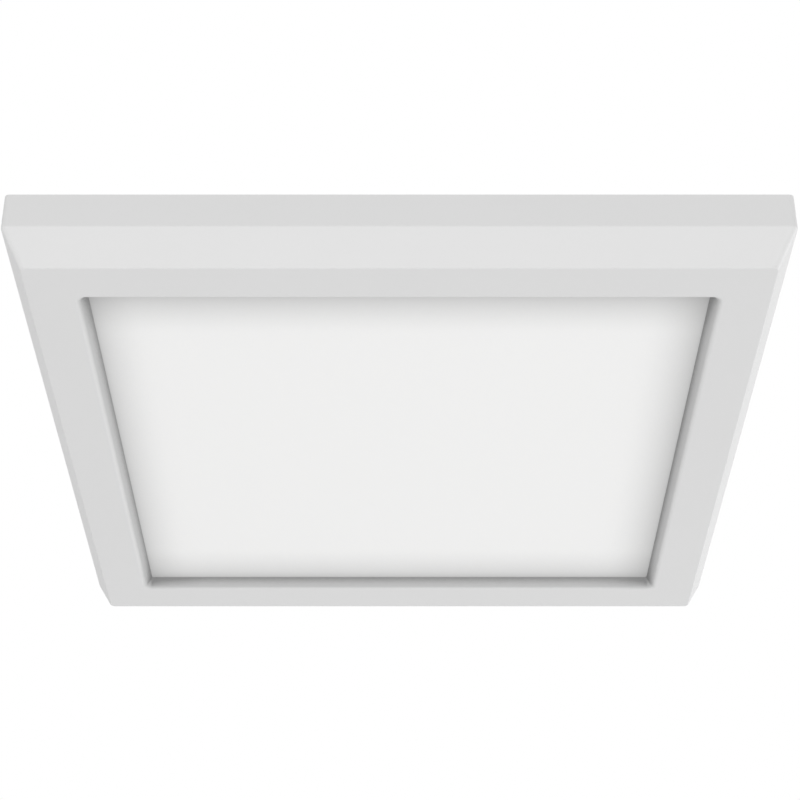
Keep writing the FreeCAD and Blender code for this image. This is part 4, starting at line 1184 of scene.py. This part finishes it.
class LIGHT_OT_stage(Operator):
    """Set up the pale floor, the soft studio light and the camera"""

    bl_idname = "light.stage"
    bl_label = "Stage"

    def execute(self, context):
        sizes = context.scene.light_stage
        self.lay_floor(sizes.floor_colour)
        self.light_world(sizes.sky)
        for name, (place, watts) in LAMPS.items():
            lamp = bpy.data.lights.new(name, "AREA")
            lamp.size = LAMP_WIDTH
            lamp.energy = watts
            obj = new_object(name, lamp)
            obj.location = place
            obj.rotation_euler = (-Vector(place)).to_track_quat("-Z", "Y").to_euler()
        self.place_camera(sizes)
        context.scene.view_settings.view_transform = "Standard"
        return {"FINISHED"}

    def lay_floor(self, colour):
        bm = bmesh.new()
        place = Matrix.Translation((0, 0, -FLOOR_DROP))
        bmesh.ops.create_grid(bm, x_segments=1, y_segments=1, size=FLOOR_WIDTH / 2, matrix=place)
        floor = new_object("floor", new_mesh("floor", bm))
        paint = plain_grain("pale_floor", colour, 0.8, 10 * MM, 100 * MICRON, 0.97)
        floor.data.materials.append(paint)

    def light_world(self, strength):
        """An even grey light, shown as white to the camera and in gloss and glass."""
        world = bpy.data.worlds.new("studio")
        bpy.context.scene.world = world
        world.use_nodes = True
        tree = world.node_tree
        even = tree.nodes["Background"]
        set_inputs(even, {"Color": (1, 1, 1, 1), "Strength": strength})
        white = add_node(tree, "Background", {"Color": (1, 1, 1, 1), "Strength": 1.0})
        rays = add_node(tree, "LightPath", {}).outputs
        seen = rays["Is Camera Ray"]
        for kind in ("Is Glossy Ray", "Is Transmission Ray"):
            seen = add_node(tree, "Math", {0: seen, 1: rays[kind]}, operation="MAXIMUM").outputs[0]
        mix = add_node(tree, "MixShader", {"Fac": seen, 1: even.outputs[0], 2: white.outputs[0]})
        set_inputs(tree.nodes["World Output"], {"Surface": mix.outputs[0]})

    def place_camera(self, sizes):
        lens = bpy.data.cameras.new("camera")
        lens.lens = sizes.focal_pixels / PICTURE_WIDTH * lens.sensor_width
        lens.shift_x = (PICTURE_WIDTH / 2 - MIDDLE_PIXEL) / PICTURE_WIDTH
        camera = new_object("camera", lens)
        camera.location = (0, -sizes.camera_distance, -sizes.camera_drop)
        camera.rotation_euler = (QUARTER + sizes.camera_pitch, 0, 0)
        bpy.context.scene.camera = camera


GROUPS = {
    "light_housing": HousingProperties,
    "light_lens": LensProperties,
    "light_metal": MetalProperties,
    "light_optics": OpticsProperties,
    "light_wiring": WiringProperties,
    "light_driver": DriverProperties,
    "light_stage": StageProperties,
}
OPERATORS = [
    LIGHT_OT_housing, LIGHT_OT_lens, LIGHT_OT_optics, LIGHT_OT_fasteners, LIGHT_OT_steelwork,
    LIGHT_OT_wiring, LIGHT_OT_driver, LIGHT_OT_board_parts, LIGHT_OT_stage,
]


class LIGHT_PT_panel(Panel):
    """The steps that dress the ceiling light"""

    bl_label = "Square Ceiling Light"
    bl_idname = "LIGHT_PT_panel"
    bl_space_type = "VIEW_3D"
    bl_region_type = "UI"
    bl_category = "Ceiling Light"

    def draw(self, context):
        for operator in OPERATORS:
            self.layout.operator(operator.bl_idname)
        for name, group in GROUPS.items():
            box = self.layout.box()
            for prop in group.__annotations__:
                box.prop(getattr(context.scene, name), prop)


CLASSES = [*GROUPS.values(), *OPERATORS, LIGHT_PT_panel]


def register():
    for made in CLASSES:
        bpy.utils.register_class(made)
    for name, group in GROUPS.items():
        setattr(bpy.types.Scene, name, PointerProperty(type=group))


def unregister():
    for name in GROUPS:
        delattr(bpy.types.Scene, name)
    for made in reversed(CLASSES):
        bpy.utils.unregister_class(made)


def main():
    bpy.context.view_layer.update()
    register()
    for operator in OPERATORS:
        group, name = operator.bl_idname.split(".")
        getattr(getattr(bpy.ops, group), name)()


if __name__ == "__main__":
    main()
